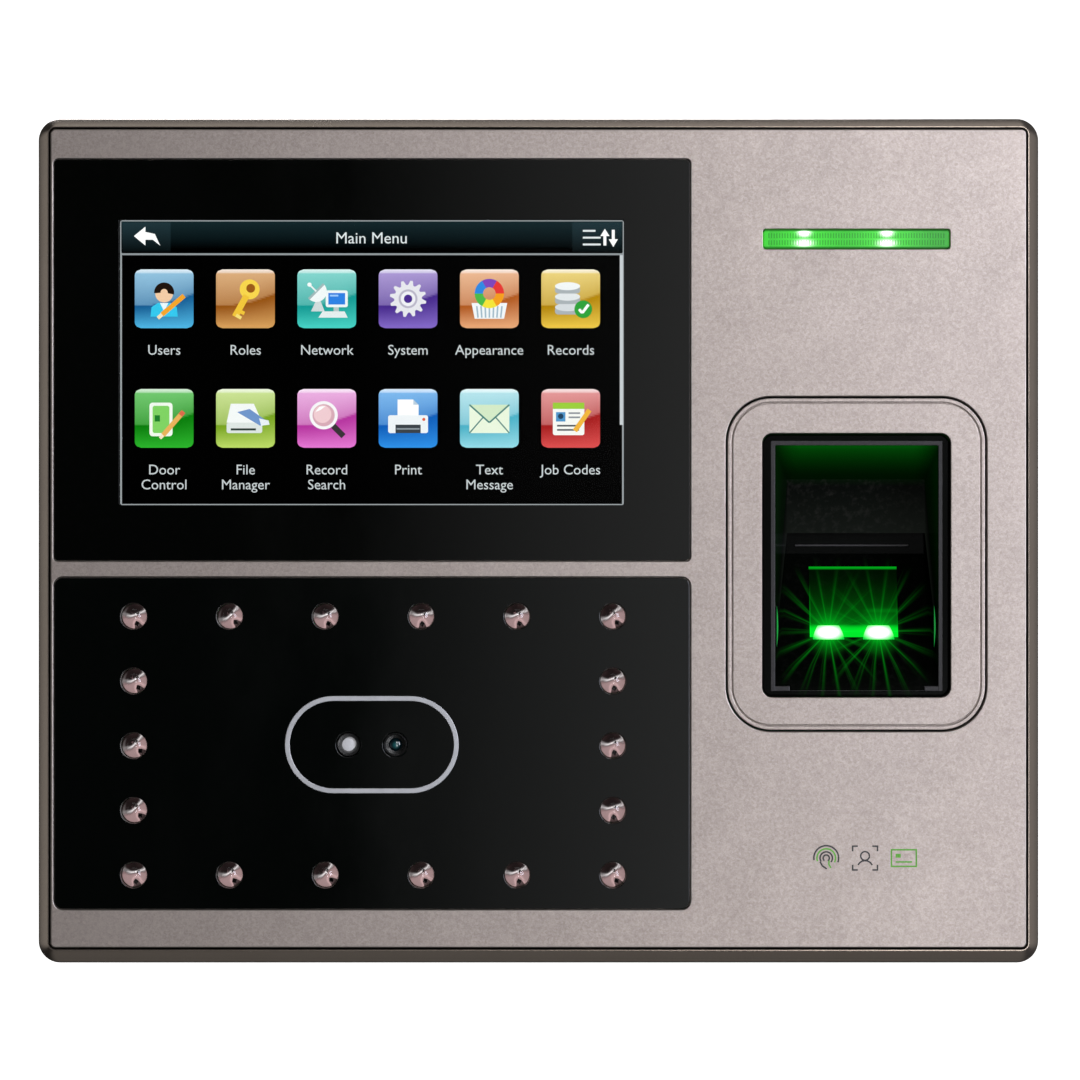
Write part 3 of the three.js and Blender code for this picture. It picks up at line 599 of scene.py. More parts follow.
METAL_FLAKES = flake_effect()
LAMP_RAYS = ray_effect()
MOULD_GRAIN = grain_effect()
HANDLING = handling_effect()


def material(name, **settings):
    """A material with its graph and Principled shader. settings are the shader's uniform values."""
    made = bpy.data.materials.new(name)
    made.use_nodes = True
    shader = made.node_tree.nodes["Principled BSDF"]
    for key, value in settings.items():
        shader.inputs[key.replace("_", " ")].default_value = value
    return made, Graph(made.node_tree), shader


def place_effect(graph, tree, **values):
    node = graph.add("ShaderNodeGroup", node_tree=tree)
    for key, value in values.items():
        node.inputs[key.replace("_", " ")].default_value = value
    return node.outputs


def add_bump(graph, shader, height, strength, distance_mm):
    values = {"Strength": strength, "Distance": distance_mm * MM, "Height": height}
    graph.put(graph.add("ShaderNodeBump", values).outputs[0], shader.inputs["Normal"])


def add_glow(graph, shader, rays=0.0):
    """Painted light that the piece gives off, from the shades painted on its mesh: on lamps their
    own light, on other pieces light and glints that fall on them.
    """
    painted = graph.add("ShaderNodeAttribute", attribute_name="glow").outputs["Color"]
    if rays:
        streams = graph.span(place_effect(graph, LAMP_RAYS)["Rays"], 0.0, 1.0, 0.0, rays)
        green = graph.blend(streams, BLACK, (*GREEN, 1.0))
        painted = graph.blend(1.0, painted, green, "ADD")
    graph.put(painted, shader.inputs["Emission Color"])
    shader.inputs["Emission Strength"].default_value = 1.0


# ------------------------------------------------------------------ finishes


def flake_paint(name, dark, light, metallic, roughness, size, strength, coat=0.1):
    made, g, shader = material(name, Metallic=metallic, Coat_Weight=coat, Coat_Roughness=0.25)
    flakes = place_effect(g, METAL_FLAKES, Flake_Size=size, Strength=strength)
    use = place_effect(g, HANDLING)
    tinted = g.blend(flakes["Tint"], colour(dark), colour(light))
    dusty = g.blend(g.times(use["Dust"], 0.1), tinted, colour("#b9b2a8"))
    g.put(dusty, shader.inputs["Base Color"])
    shine = g.span(flakes["Tint"], 0.0, 1.0, roughness + 0.06, roughness - 0.06)
    g.put(g.plus(g.times(use["Smears"], 0.04), shine), shader.inputs["Roughness"])
    add_bump(g, shader, flakes["Height"], 0.25, 0.02)
    return made


def moulded_plastic(name, dark, light, roughness, size=0.5, relief=0.04, lit=False, **settings):
    made, g, shader = material(name, **settings)
    grain = place_effect(g, MOULD_GRAIN, Grain_Size=size)
    use = place_effect(g, HANDLING)
    base = g.blend(grain["Tops"], colour(dark), colour(light))
    dusty = g.blend(g.times(use["Dust"], 0.16), base, colour("#8d8880"))
    g.put(dusty, shader.inputs["Base Color"])
    shine = g.span(grain["Tops"], 0.0, 1.0, roughness + 0.08, roughness - 0.08)
    rubbed = g.times(use["Smears"], 0.07)
    g.put(g.minus(shine, rubbed), shader.inputs["Roughness"])
    add_bump(g, shader, grain["Height"], 0.5, relief)
    if lit:
        add_glow(g, shader)
    return made


def polished_black(name, shade, roughness=0.06, lit=False, rays=0.0, **settings):
    made, g, shader = material(name, **settings)
    use = place_effect(g, HANDLING, Smear_Size=22.0)
    dusty = g.blend(g.times(use["Dust"], 0.03), colour(shade), colour("#56544f"))
    g.put(dusty, shader.inputs["Base Color"])
    g.put(g.span(use["Smears"], 0.0, 1.0, roughness, roughness + 0.05), shader.inputs["Roughness"])
    add_bump(g, shader, g.noise(g.where(), 60.0, 1.0), 0.03, 0.05)
    if lit:
        add_glow(g, shader, rays)
    return made


def drawn_metal(name, dark, light, roughness, streak=(1.0, 1.0, 14.0), metallic=1.0, lit=False):
    """Drawn or rolled metal with a faint lengthwise grain."""
    made, g, shader = material(name, Metallic=metallic)
    where = g.where()
    drawn = g.add("ShaderNodeMapping", {"Vector": where, "Scale": streak}).outputs[0]
    lines = g.noise(drawn, 420.0, 3.0, 0.6)
    patches = g.noise(where, 90.0, 2.0)
    both = g.plus(g.times(lines, 0.6), g.times(patches, 0.4))
    g.put(g.blend(g.span(both, 0.3, 0.7), colour(dark), colour(light)), shader.inputs["Base Color"])
    g.put(g.span(both, 0.3, 0.7, roughness + 0.08, roughness - 0.06), shader.inputs["Roughness"])
    add_bump(g, shader, lines, 0.12, 0.02)
    if lit:
        add_glow(g, shader)
    return made


def clear_material(name, tint, roughness, **settings):
    made, g, shader = material(name, Transmission_Weight=1.0, **settings)
    use = place_effect(g, HANDLING, Smear_Size=14.0)
    dusty = g.blend(g.times(use["Dust"], 0.04), colour(tint), colour("#c9c9c9"))
    g.put(dusty, shader.inputs["Base Color"])
    g.put(g.span(use["Smears"], 0.0, 1.0, roughness, roughness + 0.02), shader.inputs["Roughness"])
    return made


def circuit_board_finish():
    made, g, shader = material("circuit_board", Coat_Weight=0.3)
    tracks = g.add("ShaderNodeTexBrick", {
        "Vector": g.where(), "Scale": 180.0, "Mortar Size": 0.09, "Color1": colour("#0d4a2a"),
        "Color2": colour("#11512f"), "Mortar": colour("#1f6b40")}).outputs
    g.put(tracks["Color"], shader.inputs["Base Color"])
    g.put(g.span(tracks["Fac"], 0.0, 1.0, 0.4, 0.3), shader.inputs["Roughness"])
    add_bump(g, shader, tracks["Fac"], 0.2, 0.03)
    return made


def screen_finish():
    """A lit display: its picture is painted on the mesh and crossed by fine dark lines."""
    made, g, shader = material(
        "screen_picture", Roughness=0.6, Specular_IOR_Level=0.0, Emission_Strength=1.15)
    painted = g.add("ShaderNodeAttribute", attribute_name="glow").outputs["Color"]
    across = g.add("ShaderNodeSeparateXYZ", {0: g.where()}).outputs[0]
    wave = g.maths("SINE", g.times(across, 2 * math.pi / (SCREEN_DOT * MM)))
    lines = g.span(wave, -1.0, 1.0, 0.1, 0.0)
    g.put(g.blend(lines, painted, BLACK), shader.inputs["Emission Color"])
    g.put(g.blend(0.02, BLACK, painted), shader.inputs["Base Color"])
    return made


def lit_plastic(name, shade, roughness, **settings):
    """Green moulding lit from behind, brighter where its painted light says; the painted glints on
    the well's walls wear it too.
    """
    made, g, shader = material(
        name, Coat_Weight=0.08, Coat_Roughness=0.08, Specular_IOR_Level=0.15, **settings)
    mottle = g.noise(g.where(), 1600.0, 2.0)
    darker = g.span(mottle, 0.3, 0.7, 0.0, 0.35)
    g.put(g.blend(darker, colour(shade), BLACK), shader.inputs["Base Color"])
    g.put(g.span(mottle, 0.3, 0.7, roughness, roughness + 0.1), shader.inputs["Roughness"])
    add_bump(g, shader, mottle, 0.2, 0.02)
    add_glow(g, shader)
    return made


FINISH = {
    "cover": flake_paint("champagne_paint", "#91857c", "#c3b6ae", 0.62, 0.4, 0.22, 0.55),
    "cut_edge": drawn_metal("bright_cut_edge", "#958d86", "#a59d96", 0.4, (1.0, 1.0, 1.0)),
    "frame": flake_paint("bronze_paint", "#84786d", "#968b80", 0.85, 0.22, 0.15, 0.3, 0.0),
    "case": moulded_plastic("case_plastic", "#1b1c1e", "#26272a", 0.55),
    "glass": clear_material("cover_glass", "#f7faf9", 0.0, IOR=1.12),
    "border": polished_black("glass_border", "#020302", 0.04),
    "window": polished_black("window_acrylic", "#020403", 0.05),
    "well": polished_black(
        "gloss_black", "#020302", 0.16, lit=True, rays=0.4, Specular_IOR_Level=0.05),
    # Flat black for the display's frame, the lamp chips and the socket insides, and painted shade
    # in the terminal screws' slots.
    "ink": polished_black("black_ink", "#020302", 0.3),
    "barrel": moulded_plastic("lens_barrel", "#131312", "#1d1d1c", 0.3, 0.2, 0.004),
    "lip": moulded_plastic(
        "satin_lip", "#211f20", "#272526", 0.4, 0.3, 0.01, Specular_IOR_Level=0.3),
    "panel": moulded_plastic(
        "satin_black", "#030403", "#050605", 0.35, 0.25, 0.004, lit=True, Specular_IOR_Level=0.01),
    "platen": polished_black(
        "sensor_glass", "#010201", 0.04, lit=True, rays=0.3, Specular_IOR_Level=0.06),
    "light": lit_plastic("green_light", "#0c5a1e", 0.3),
    "screen": screen_finish(),
    "board": circuit_board_finish(),
    "rubber": moulded_plastic("soft_rubber", "#0c0c0c", "#161616", 0.78, 0.35, 0.02),
    "zinc": drawn_metal("zinc_steel", "#9fa3a8", "#c3c6c9", 0.32),
    "tin": drawn_metal("connector_shell", "#a9abad", "#c9cbcc", 0.24),
    "gold": drawn_metal("gold_contacts", "#b98a2e", "#dcae4c", 0.22),
    "terminals": moulded_plastic("terminal_plastic", "#12532a", "#1b6b38", 0.42, 0.4, 0.02),
    "trim": drawn_metal("silver_trim", "#b4b4b4", "#c8c8c8", 0.45, (1.0, 1.0, 1.0), 0.2),
    "resin": clear_material("clear_resin", "#fff1f2", 0.01, IOR=1.46),
    "cup": drawn_metal("lamp_cup", "#171212", "#2a2121", 0.22, (1.0, 1.0, 1.0), lit=True),
    "lens": polished_black("coated_lens", "#04181c", 0.03, lit=True, Coat_Weight=1.0),
    "diffuser": moulded_plastic("lamp_diffuser", "#8e8e91", "#9b9b9f", 0.35, 0.3, 0.005, lit=True),
    "film": moulded_plastic("film", "#8c4f1c", "#b06c2c", 0.35, 1.5, 0.01),
    "print_dark": moulded_plastic("print_dark", "#232323", "#2e2e2e", 0.5, 0.2, 0.003),
    "print_green": moulded_plastic("print_green", "#4c9a1e", "#5fae2a", 0.5, 0.2, 0.003),
}

# ------------------------------------------------------------------ front pieces

COVER = face_area("front_cover")
FRAME_OUTER = face_area("side_frame")
SCREEN_POCKET = grown(face_area("touch_glass"), 0.2)
CAMERA_POCKET = grown(face_area("camera_window"), 0.2)
LIGHT_SLOT = grown(face_area("light_pipe"), 0.2)
WELL_OPENING = grown(face_area("sensor_housing"), 0.25)
BEZEL_HOLE = (36.2, 86.65, -36.9, 27.9)
SCREEN_VIEW = (-81.05, 16.55, 6.9, 62.1)
SCREEN_LEDGE = (-83.3, 18.8, 4.6, 64.4)
CAMERA_LEDGE = (-84, 20, -69, -9.5)
SKIRT_BACK = 12.0


def make_front_cover():
    """A face plate with its openings, the ledges behind it that hold the panels, and a skirt."""
    piece = Piece("front_cover_shell")
    light, bezel = rounded(LIGHT_SLOT, 0.5), rounded(BEZEL_HOLE, 8.8, 18)
    openings = [rounded(SCREEN_POCKET, 0.9), rounded(CAMERA_POCKET, 1.8), light, bezel]
    piece.plate(rounded(COVER, 0.9), 0.0, 2.2, openings, edge=0.2, rim=1)
    ledges = [rounded(SCREEN_LEDGE, 1.5), rounded(CAMERA_LEDGE, 1.5), light, bezel]
    piece.plate(rounded(grown(COVER, -0.02), 0.9), 2.15, 3.2, ledges)
    inner = rounded(grown(COVER, -1.6), 0.4)
    piece.plate(rounded(grown(COVER, -0.02), 0.9), 3.15, SKIRT_BACK, [inner])
    piece.done("champagne_paint", ["cover", "cut_edge"], ["front_cover"])


def make_side_frame():
    """One hoop: a straight outer side, a broad slanted band round the front and an inner wall."""
    inner_area = grown(COVER, 0.4)
    section = (
        (0.0, 20.0), (0.0, 2.9), (0.02, 2.6), (0.1, 2.25), (0.84, 0.34), (0.91, 0.22),
        (0.98, 0.22), (1.0, 0.35), (1.0, 20.0),
    )
    rings = []
    for share, depth in section:
        area = between(FRAME_OUTER, inner_area, share)
        rings.append((rounded(area, 4.2 - 2.9 * share, 12)(), depth))
    piece = Piece("side_frame_hoop").band(rings)
    piece.done("bronze_paint", ["frame"], ["side_frame"])


def make_bezel():
    """The sensor's surround: a narrow outer band, a fine groove and the broad inner band."""
    piece = Piece("finger_bezel")
    piece.plate(
        rounded(grown(BEZEL_HOLE, -0.36), 8.44, 18), 0.05, 6.0,
        [rounded(grown(BEZEL_HOLE, -1.1), 7.7, 18)], edge=0.16)
    piece.plate(
        rounded(grown(BEZEL_HOLE, -1.36), 7.4, 18), 0.0, 6.0,
        [rounded(WELL_OPENING, 2.0)], edge=0.14)
    piece.plate(
        rounded(grown(BEZEL_HOLE, -0.9), 7.9, 18), 0.8, 5.8,
        [rounded(grown(BEZEL_HOLE, -1.9), 6.9, 18)])
    piece.done("champagne_paint", ["cover"], ["fingerprint_bezel"])


# The finger well runs back from its mouth as one side profile, (depth, z), between leaning walls.
WELL_MOUTH = (44.95, 78.2, -29.2, 19.4)
LIP_OPENING = (45.8, 77.35, -28.95, 18.45)
WELL_FRONT = 1.2
WELL_TAPERS = (3.6, 2.75)
WELL_PROFILE = (
    (1.2, 19.4), (13.0, 12.0), (13.0, 1.5), (15.5, 1.5), (15.5, -2.5), (6.5, -24.0), (1.2, -29.2),
)
# The second stretch of the profile, the well's upright back, is a satin panel.
PANEL_SEGMENT = 1
SLOPE_TOP, SLOPE_BOTTOM = WELL_PROFILE[4], WELL_PROFILE[5]
PLATEN = (52.85, 70.0, -18.75, -5.05)
# Where the painted glints of the sensor's light stand across the well's side walls.
GLINTS = (46.35, 76.85)


def slope_depth(z):
    share = (SLOPE_TOP[1] - z) / (SLOPE_TOP[1] - SLOPE_BOTTOM[1])
    return SLOPE_TOP[0] + (SLOPE_BOTTOM[0] - SLOPE_TOP[0]) * share


def hood_light(x, depth, z):
    """The sensor's light on the roof of the well, strongest at its front edge, and on its back."""
    roof_front, roof_back = WELL_MOUTH[3], 11.9
    if z < roof_back and 12.9 < depth < 13.1:
        level = 0.005 * (roof_back - z) / 10.4
        return level, 1.25 * level, level
    if z < roof_back or depth < WELL_FRONT + 0.2:
        return 0.0, 0.0, 0.0
    share = (z - roof_back) / (roof_front - roof_back)
    aside = min(1.0, (min(x - WELL_MOUTH[0], WELL_MOUTH[1] - x)) / 5.0)
    strength = (0.004 + 0.075 * share ** 2.2) * max(aside, 0.1)
    strength += 0.05 * math.exp(-(((share - 0.93) / 0.05) ** 2)) * aside
    return tuple(c * strength for c in GREEN)


def make_well():
    piece = Piece("finger_well")
    left, right = WELL_MOUTH[:2]

    def sides(depth):
        share = min(max((depth - WELL_FRONT) / 11.8, 0.0), 1.0)
        return left + WELL_TAPERS[0] * share, right - WELL_TAPERS[1] * share

    for index, (first, second) in enumerate(zip(WELL_PROFILE, WELL_PROFILE[1:])):
        def along(a, t, first=first, second=second):
            depth, z = between(first, second, t)
            near, far = sides(depth)
            return near + (far - near) * a, depth, z

        piece.sheet(20, 8, along, finish=int(index == PANEL_SEGMENT), smooth=False)
    steps = [between(a, b, t / 8) for a, b in zip(WELL_PROFILE, WELL_PROFILE[1:]) for t in range(8)]
    steps.append(WELL_PROFILE[-1])
    for hand in (0, 1):
        wall = [piece.bm.verts.new((sides(depth)[hand], depth, z)) for depth, z in steps]
        flat = [[Vector((v.co.y, v.co.z, 0)) for v in wall]]
        for triangle in tessellate_polygon(flat):
            piece.face([wall[i] for i in triangle], smooth=False)
    outline = rounded(grown(WELL_OPENING, -0.25), 1.75)
    near = [piece.ring(outline(-s), d) for s, d in rim_levels(WELL_FRONT, 0.35, 1)]
    back = piece.ring(outline(), 20.0)
    piece.bridge(near + [back])
    top = [(left + (right - left) * i / 20, WELL_MOUTH[3]) for i in range(21)]
    bottom = [(left + (right - left) * i / 20, WELL_MOUTH[2]) for i in range(21)]
    piece.cap([near[0], piece.ring(top + bottom[::-1], WELL_FRONT)])
    piece.cap([back])
    bmesh.ops.remove_doubles(piece.bm, verts=piece.bm.verts, dist=0.002)
    piece.done("gloss_black", ["well", "panel"], ["sensor_housing"], glow=hood_light)


def make_well_lip():
    """A grey rim inside the well's mouth, its two lower corners, and the line on its back."""
    lip = Piece("finger_well_lip")
    lip.plate(
        rounded(grown(WELL_MOUTH, 0.05), 0.4), WELL_FRONT + 0.15, WELL_FRONT + 0.9,
        [rounded(LIP_OPENING, 0.2)], edge=0.12)
    for start in (45.6, 74.6):
        lip.block(
            (start, WELL_FRONT + 0.2, -29.1), (start + 3.0, WELL_FRONT + 1.4, -28.1), edge=0.15)
    lip.block((50.2, 15.1, -1.1), (72.4, 15.7, -0.7), edge=0.1)
    lip.done("gloss_black", ["lip"])


def platen_light(x, depth, z):
    """Light inside the sensor's glass: bright at its lamps, at its top edge and down its sides."""
    left, right, bottom, top = PLATEN
    rise = (z - bottom) / (top - bottom)
    level = 0.004 + 0.2 * max(0.0, 1 - rise) ** 2.6
    if top - z < 0.35:
        level += 0.35
    if x - left < 0.3:
        level += 0.4 * max(0.0, 0.75 - rise)
    if right - x < 0.3:
        level += 0.2 * max(0.0, 0.6 - rise)
    level += 0.07 * math.exp(-((z + 13.6) / 0.35) ** 2) * min(1.0, max(0.0, (x - 63) / 2))
    level += 0.62 * min(1.0, max(0.0, 1 - (z - bottom - 1.7) / 0.8))
    return tuple(c * level for c in GREEN)


def make_platen():
    """The glass that a finger lies on, its two lamps, and their glints painted as glowing slivers
    on the well's walls.
    """
    left, right, bottom, top = PLATEN

    def on_slope(lift):
        def point(a, t):
            z = bottom + (top - bottom) * t
            return left + (right - left) * a, slope_depth(z) - lift, z
        return point

    piece = Piece("sensor_platen").slab(56, 44, on_slope(0.2), on_slope(-0.9))
    piece.done("sensor_glass", ["platen"], ["sensor_prism"], glow=platen_light)
    for name, middle in zip(("left", "right"), LAMP_SPOTS):
        def lens(lift):
            def point(a, t):
                half = 3.05 - 1.0 * t ** 1.5
                z = SPOT_HEIGHT - 1.5 + 2.7 * t
                crown = 0.35 * math.sin(math.pi * a) * math.sin(math.pi * t)
                return middle + half * (2 * a - 1), slope_depth(z) - lift - crown, z
            return point

        def shine(x, depth, z, middle=middle):
            spread = math.hypot((x - middle) / 3.0, (z - SPOT_HEIGHT + 0.1) / 1.55)
            heat = max(0.0, 1.15 - spread)
            edge = min(1.0, max(0.0, 1.3 - spread))
            return 3.0 * heat ** 1.5, 0.55 + 1.2 * edge + heat, 0.05 + 3.0 * heat ** 1.5

        lamp = Piece("sensor_lamp_" + name).slab(18, 12, lens(0.32), lens(0.1))
        lamp.done("green_light", ["light"], ["sensor_led_" + name], glow=shine)
    # Painted reflection: thin glowing slivers on the well's side walls stand for the lamps' green
    # glints there.
    glints = Piece("well_side_glints")
    for x in GLINTS:
        def sliver(depth):
            return lambda a, t: (
                x - 0.14 + 0.28 * a * math.sin(math.pi * t), depth, -20.6 + 8.0 * t)

        glints.slab(2, 12, sliver(4.0), sliver(4.2))
    glints.done("green_light", ["light"], glow=lambda x, depth, z: (0.0, 0.24, 0.03))


BAR_LAMPS = (51.35, 67.3)


def bar_light(x, depth, z):
    """Light in the status bar, from its two lamps."""
    left, right, bottom, top = LIGHT_SLOT
    fall = (top - z) / (top - bottom)
    level, white = 0.37, 0.0
    for lamp in BAR_LAMPS:
        level += 0.42 * math.exp(-(((x - lamp) / 6.5) ** 2))
        white += 3.4 * math.exp(-(((x - lamp) / 0.95) ** 2) - ((fall - 0.2) / 0.13) ** 2)
        white += 3.4 * math.exp(-(((x - lamp) / 1.35) ** 2) - ((fall - 0.7) / 0.13) ** 2)
    level *= 0.55 if fall < 0.13 else 1.0
    level *= 0.3 if fall > 0.86 else 1.0
    level *= 1.25 if x - left < 1.2 else 1.0
    level *= 0.86 + 0.14 * min(1.0, (right - x) / 14)
    return 0.09 * level + white, 0.95 * level + white, 0.06 * level + white


def make_light_bar():
    area = face_area("light_pipe")
    piece = Piece("light_bar").plate(rounded(area, 0.35), 0.32, 6.0, edge=0.1)
    left, right, bottom, top = grown(area, -0.12)

    def window(depth):
        return lambda a, t: (left + (right - left) * a, depth, bottom + (top - bottom) * t)

    piece.slab(140, 14, window(0.2), window(0.5))
    piece.done("green_light", ["light"], ["light_pipe"], glow=bar_light)
    rib = Piece("light_bar_ribs").block((-0.14, -0.05, -0.5), (0.14, 0.1, 0.5), edge=0.05)
    middle = face_middle("light_pipe")
    place = ON_FACE @ Matrix.Translation((middle.x, 0.2, middle.z))
    mesh = repeated(rib, 66, 2, (0.52, 1.35), "light", place)
    paint(mesh, ON_FACE, lambda *at: tuple(0.6 * c for c in bar_light(*at)))
    settle("light_bar_ribs", mesh, "terminal", ["light"])


LAMP_PITCH = (18.52, 12.5)
LAMP_GRID = (6, 5)
LAMP_NODES = [f"ir_led_{i:02d}" for i in range(1, 19)]
# How far a lamp may be turned, in radians, and how much its dome enlarges what is under it.
TURN = 0.7
DOME_ZOOM = 2.1


def make_camera_window():
    sizes = [(node, 2.55, 28) for node in LAMP_NODES]
    sizes += [("infrared_camera", 2.45, 32), ("visible_camera", 2.45, 32)]
    holes = []
    for node, radius, steps in sizes:
        middle = face_middle(node)
        holes.append(disc(middle.x, middle.z, radius, steps))
    piece = Piece("camera_panel")
    piece.plate(rounded(face_area("camera_window"), 1.6), 0.1, 1.9, holes, edge=0.12)
    piece.done("window_acrylic", ["window"], ["camera_window"])


def make_lamps():
    """Eighteen clear lamps round the cameras: a resin dome over a metal cup, a post and a chip."""
    lows, highs = zip(*(face_box(node) for node in LAMP_NODES))
    middle_x = (min(p.x for p in lows) + max(p.x for p in highs)) / 2
    middle_z = (min(p.z for p in lows) + max(p.z for p in highs)) / 2
    place = ON_FACE @ Matrix.Translation((middle_x, 0, middle_z))

    def on_rim(part, finish, name, replaces=(), turn=0.0):
        mesh = repeated(part, *LAMP_GRID, LAMP_PITCH, finish, place, rim_only=1.0, turn=turn)
        settle(name, mesh, "terminal", [finish], replaces)

    turns = [math.pi / 2 * s / 9 for s in range(10)]
    dome = [(2.4 * math.sin(a), 2.4 - 2.4 * math.cos(a)) for a in turns]
    collar = [(2.4, 7.7), (2.85, 7.8), (2.85, 8.6), (0.0, 8.6)]
    resin = Piece("lamp_resin").turned(dome + collar, steps=28)
    on_rim(resin, "resin", "lamp_domes", LAMP_NODES)

    cup = Piece("lamp_cup")
    bowl = [(0.11 * s, 4.5 - 0.39 * (0.11 * s) ** 2) for s in range(18)]
    cup.turned(bowl + [(2.0, 3.02), (2.15, 2.95), (2.25, 3.1), (1.7, 4.6), (0.0, 6.0)], steps=40)

    def cup_light(x, depth, z):
        """Painted light on the cup as its dome shows it: painted shade above, a pink painted glow
        below a white painted highlight curl and a bright painted arc on the upper rim, round a dark
        chip.
        """
        x, z = DOME_ZOOM * x, DOME_ZOOM * z
        low = 0.55 * x - 0.83 * z + 0.25 * math.sin(2.2 * x)
        level = 0.015 + 0.42 * min(1.0, max(0.0, (low + 0.15) / 0.35))
        level += 0.3 * math.exp(-(((math.hypot(x - 0.8, z + 0.9) - 0.65) / 0.15) ** 2))
        white = 1.0 * math.exp(-(((low + 0.3) / 0.15) ** 2)) * min(1.0, max(0.1, 1 - x * x / 3))
        if low < 0:
            white += 0.4 * math.exp(-(((math.hypot(x, z) - 2.0) / 0.14) ** 2))
        return 0.85 * level + white, 0.6 * level + white, 0.6 * level + white

    # Each copy of the cup carries these painted highlights, glow and shade.
    cup.glow = cup_light
    on_rim(cup, "cup", "lamp_cups", turn=TURN)
    chip = Piece("lamp_chip").block((0.3, 3.6, -0.75), (0.7, 4.3, -0.35), edge=0.05)
    chip.turned(((0.0, 3.0), (0.09, 3.05), (0.09, 4.0), (0.0, 4.1)), x=0.1, z=0.35, steps=10)
    on_rim(chip, "ink", "lamp_chips", turn=TURN)


def make_cameras():
    """An infrared camera under a pale disc, a stepped lens beside it, and the trim round both."""
    left, right = face_middle("infrared_camera"), face_middle("visible_camera")
    infrared = Piece("infrared_camera_lens")
    rim = ((1.5, 1.3), (1.55, 0.75), (1.7, 0.55), (2.1, 0.5), (2.25, 0.62), (2.25, 8.6), (1.5, 8.6))
    infrared.turned(rim + rim[:1], left.x, left.z)
    pale = ((0.0, 0.95), (0.8, 1.0), (1.2, 1.1), (1.3, 1.25), (1.3, 6.0), (0.0, 6.0))
    infrared.turned(pale, left.x, left.z, finish=1)
    infrared.done(
        "gloss_black", ["barrel", "diffuser"], ["infrared_camera"],
        glow=lambda x, depth, z: disc_light(x - left.x, z - left.z))
    visible = Piece("visible_camera_lens")
    steps = (
        (1.25, 1.9), (1.3, 1.5), (1.55, 1.45), (1.6, 1.1), (1.85, 1.05), (1.9, 0.7), (2.1, 0.5),
        (2.3, 0.6), (2.3, 8.6), (1.25, 8.6),
    )
    visible.turned(steps + steps[:1], right.x, right.z)
    turns = [math.pi / 2 * s / 8 for s in range(9)]
    dome = [(1.28 * math.sin(a), 1.95 - 0.7 * math.cos(a)) for a in turns]
    visible.turned(dome + [(1.28, 5.0), (0.0, 5.0)], right.x, right.z, finish=1)
    visible.done(
        "gloss_black", ["barrel", "lens"], ["visible_camera"],
        glow=lambda x, depth, z: iris_light(x - right.x, z - right.z))
    ring_middle = face_middle("camera_ring")
    ring = Piece("camera_ring_trim").plate(
        stadium(ring_middle.x, ring_middle.z, 7.4, 9.4), 0.0, 0.8,
        [stadium(ring_middle.x, ring_middle.z, 7.4, 8.45)], edge=0.12)
    ring.done("silver_trim", ["trim"], ["camera_ring"])


# Painted light: an even pale glow painted on the disc over the infrared camera.
def disc_light(x, z):
    return (0.26, 0.26, 0.27) if math.hypot(x, z) < 1.32 else (0.0, 0.0, 0.0)


# Painted reflection: a cyan glint painted at the middle of the lens, fading outwards.
def iris_light(x, z):
    spread = math.hypot(x - 0.05, z + 0.1)
    level = max(0.0, 1 - spread / 0.8)
    return 0.012 * level, 0.09 * level, 0.1 * level


def make_glass():
    """The touch panel and the black border printed round its edge."""
    area = face_area("touch_glass")
    glass = Piece("touch_panel").plate(rounded(area, 0.7), 0.09, 1.8, edge=0.05)
    glass.done("cover_glass", ["glass"], ["touch_glass"])
    border = Piece("glass_border").plate(
        rounded(area, 0.7), 0.04, 0.12, [rounded(SCREEN_VIEW, 0.15)], edge=0.03)
    border.done("cover_glass", ["border"])


# ------------------------------------------------------------------ printed mark

# Where the signs stand across the face, how high they are, and how wide their strokes are.
SIGNS = (55.6, 63.1, 70.6)
SIGN_HEIGHT = -61.3
STROKE = 0.3


def make_mark():
    """Three plain signs under the sensor: a finger's ridges, a framed face and a card."""
    piece = Piece("access_signs")

    def arc(x, z, radius, start, end, width, finish=0):
        turns = [math.radians(start + (end - start) * s / 20) for s in range(21)]
        points = [(x + radius * math.cos(a), z + radius * math.sin(a)) for a in turns]
        piece.ribbon(points, width, finish)

    x, z = SIGNS[0], SIGN_HEIGHT
    ridges = ((0.6, -60, 235, 0), (1.2, -40, 215, 0), (1.8, -28, 200, 1), (2.4, -20, 190, 0))
    for radius, start, end, finish in ridges:
        arc(x, z, radius, start, end, STROKE, finish)
    piece.ribbon([(x - 1.2, z - 0.7), (x - 0.75, z - 1.5), (x + 0.1, z - 2.1)], STROKE, 0)
    piece.ribbon([(x + 0.55, z - 0.3), (x + 0.5, z - 1.2), (x + 0.9, z - 1.9)], STROKE, 1)
    x = SIGNS[1]
    for side in (-1, 1):
        for rise in (-1, 1):
            corner_x, corner_z = x + 2.4 * side, z + 2.3 * rise
            piece.ribbon([
                (corner_x - 1.0 * side, corner_z), (corner_x, corner_z),
                (corner_x, corner_z - 1.0 * rise)], STROKE, 0)
    arc(x, z + 0.4, 0.85, 0, 360, STROKE)
    arc(x, z - 2.0, 1.5, 25, 155, STROKE)
    x = SIGNS[2]
    piece.ribbon([
        (x - 2.4, z + 1.6), (x + 2.4, z + 1.6), (x + 2.4, z - 1.6), (x - 2.4, z - 1.6),
        (x - 2.4, z + 1.75)], STROKE, 1)
    piece.ribbon([(x - 1.6, z + 0.45), (x - 0.6, z + 0.45)], 0.75, 1)
    piece.ribbon([(x - 1.6, z - 0.75), (x + 1.6, z - 0.75)], STROKE, 1)
    piece.done("gloss_black", ["print_dark", "print_green"])


# ------------------------------------------------------------------ screen picture

# How far each shape of the screen's picture lies in front of the one under it.
LAYER = 0.008


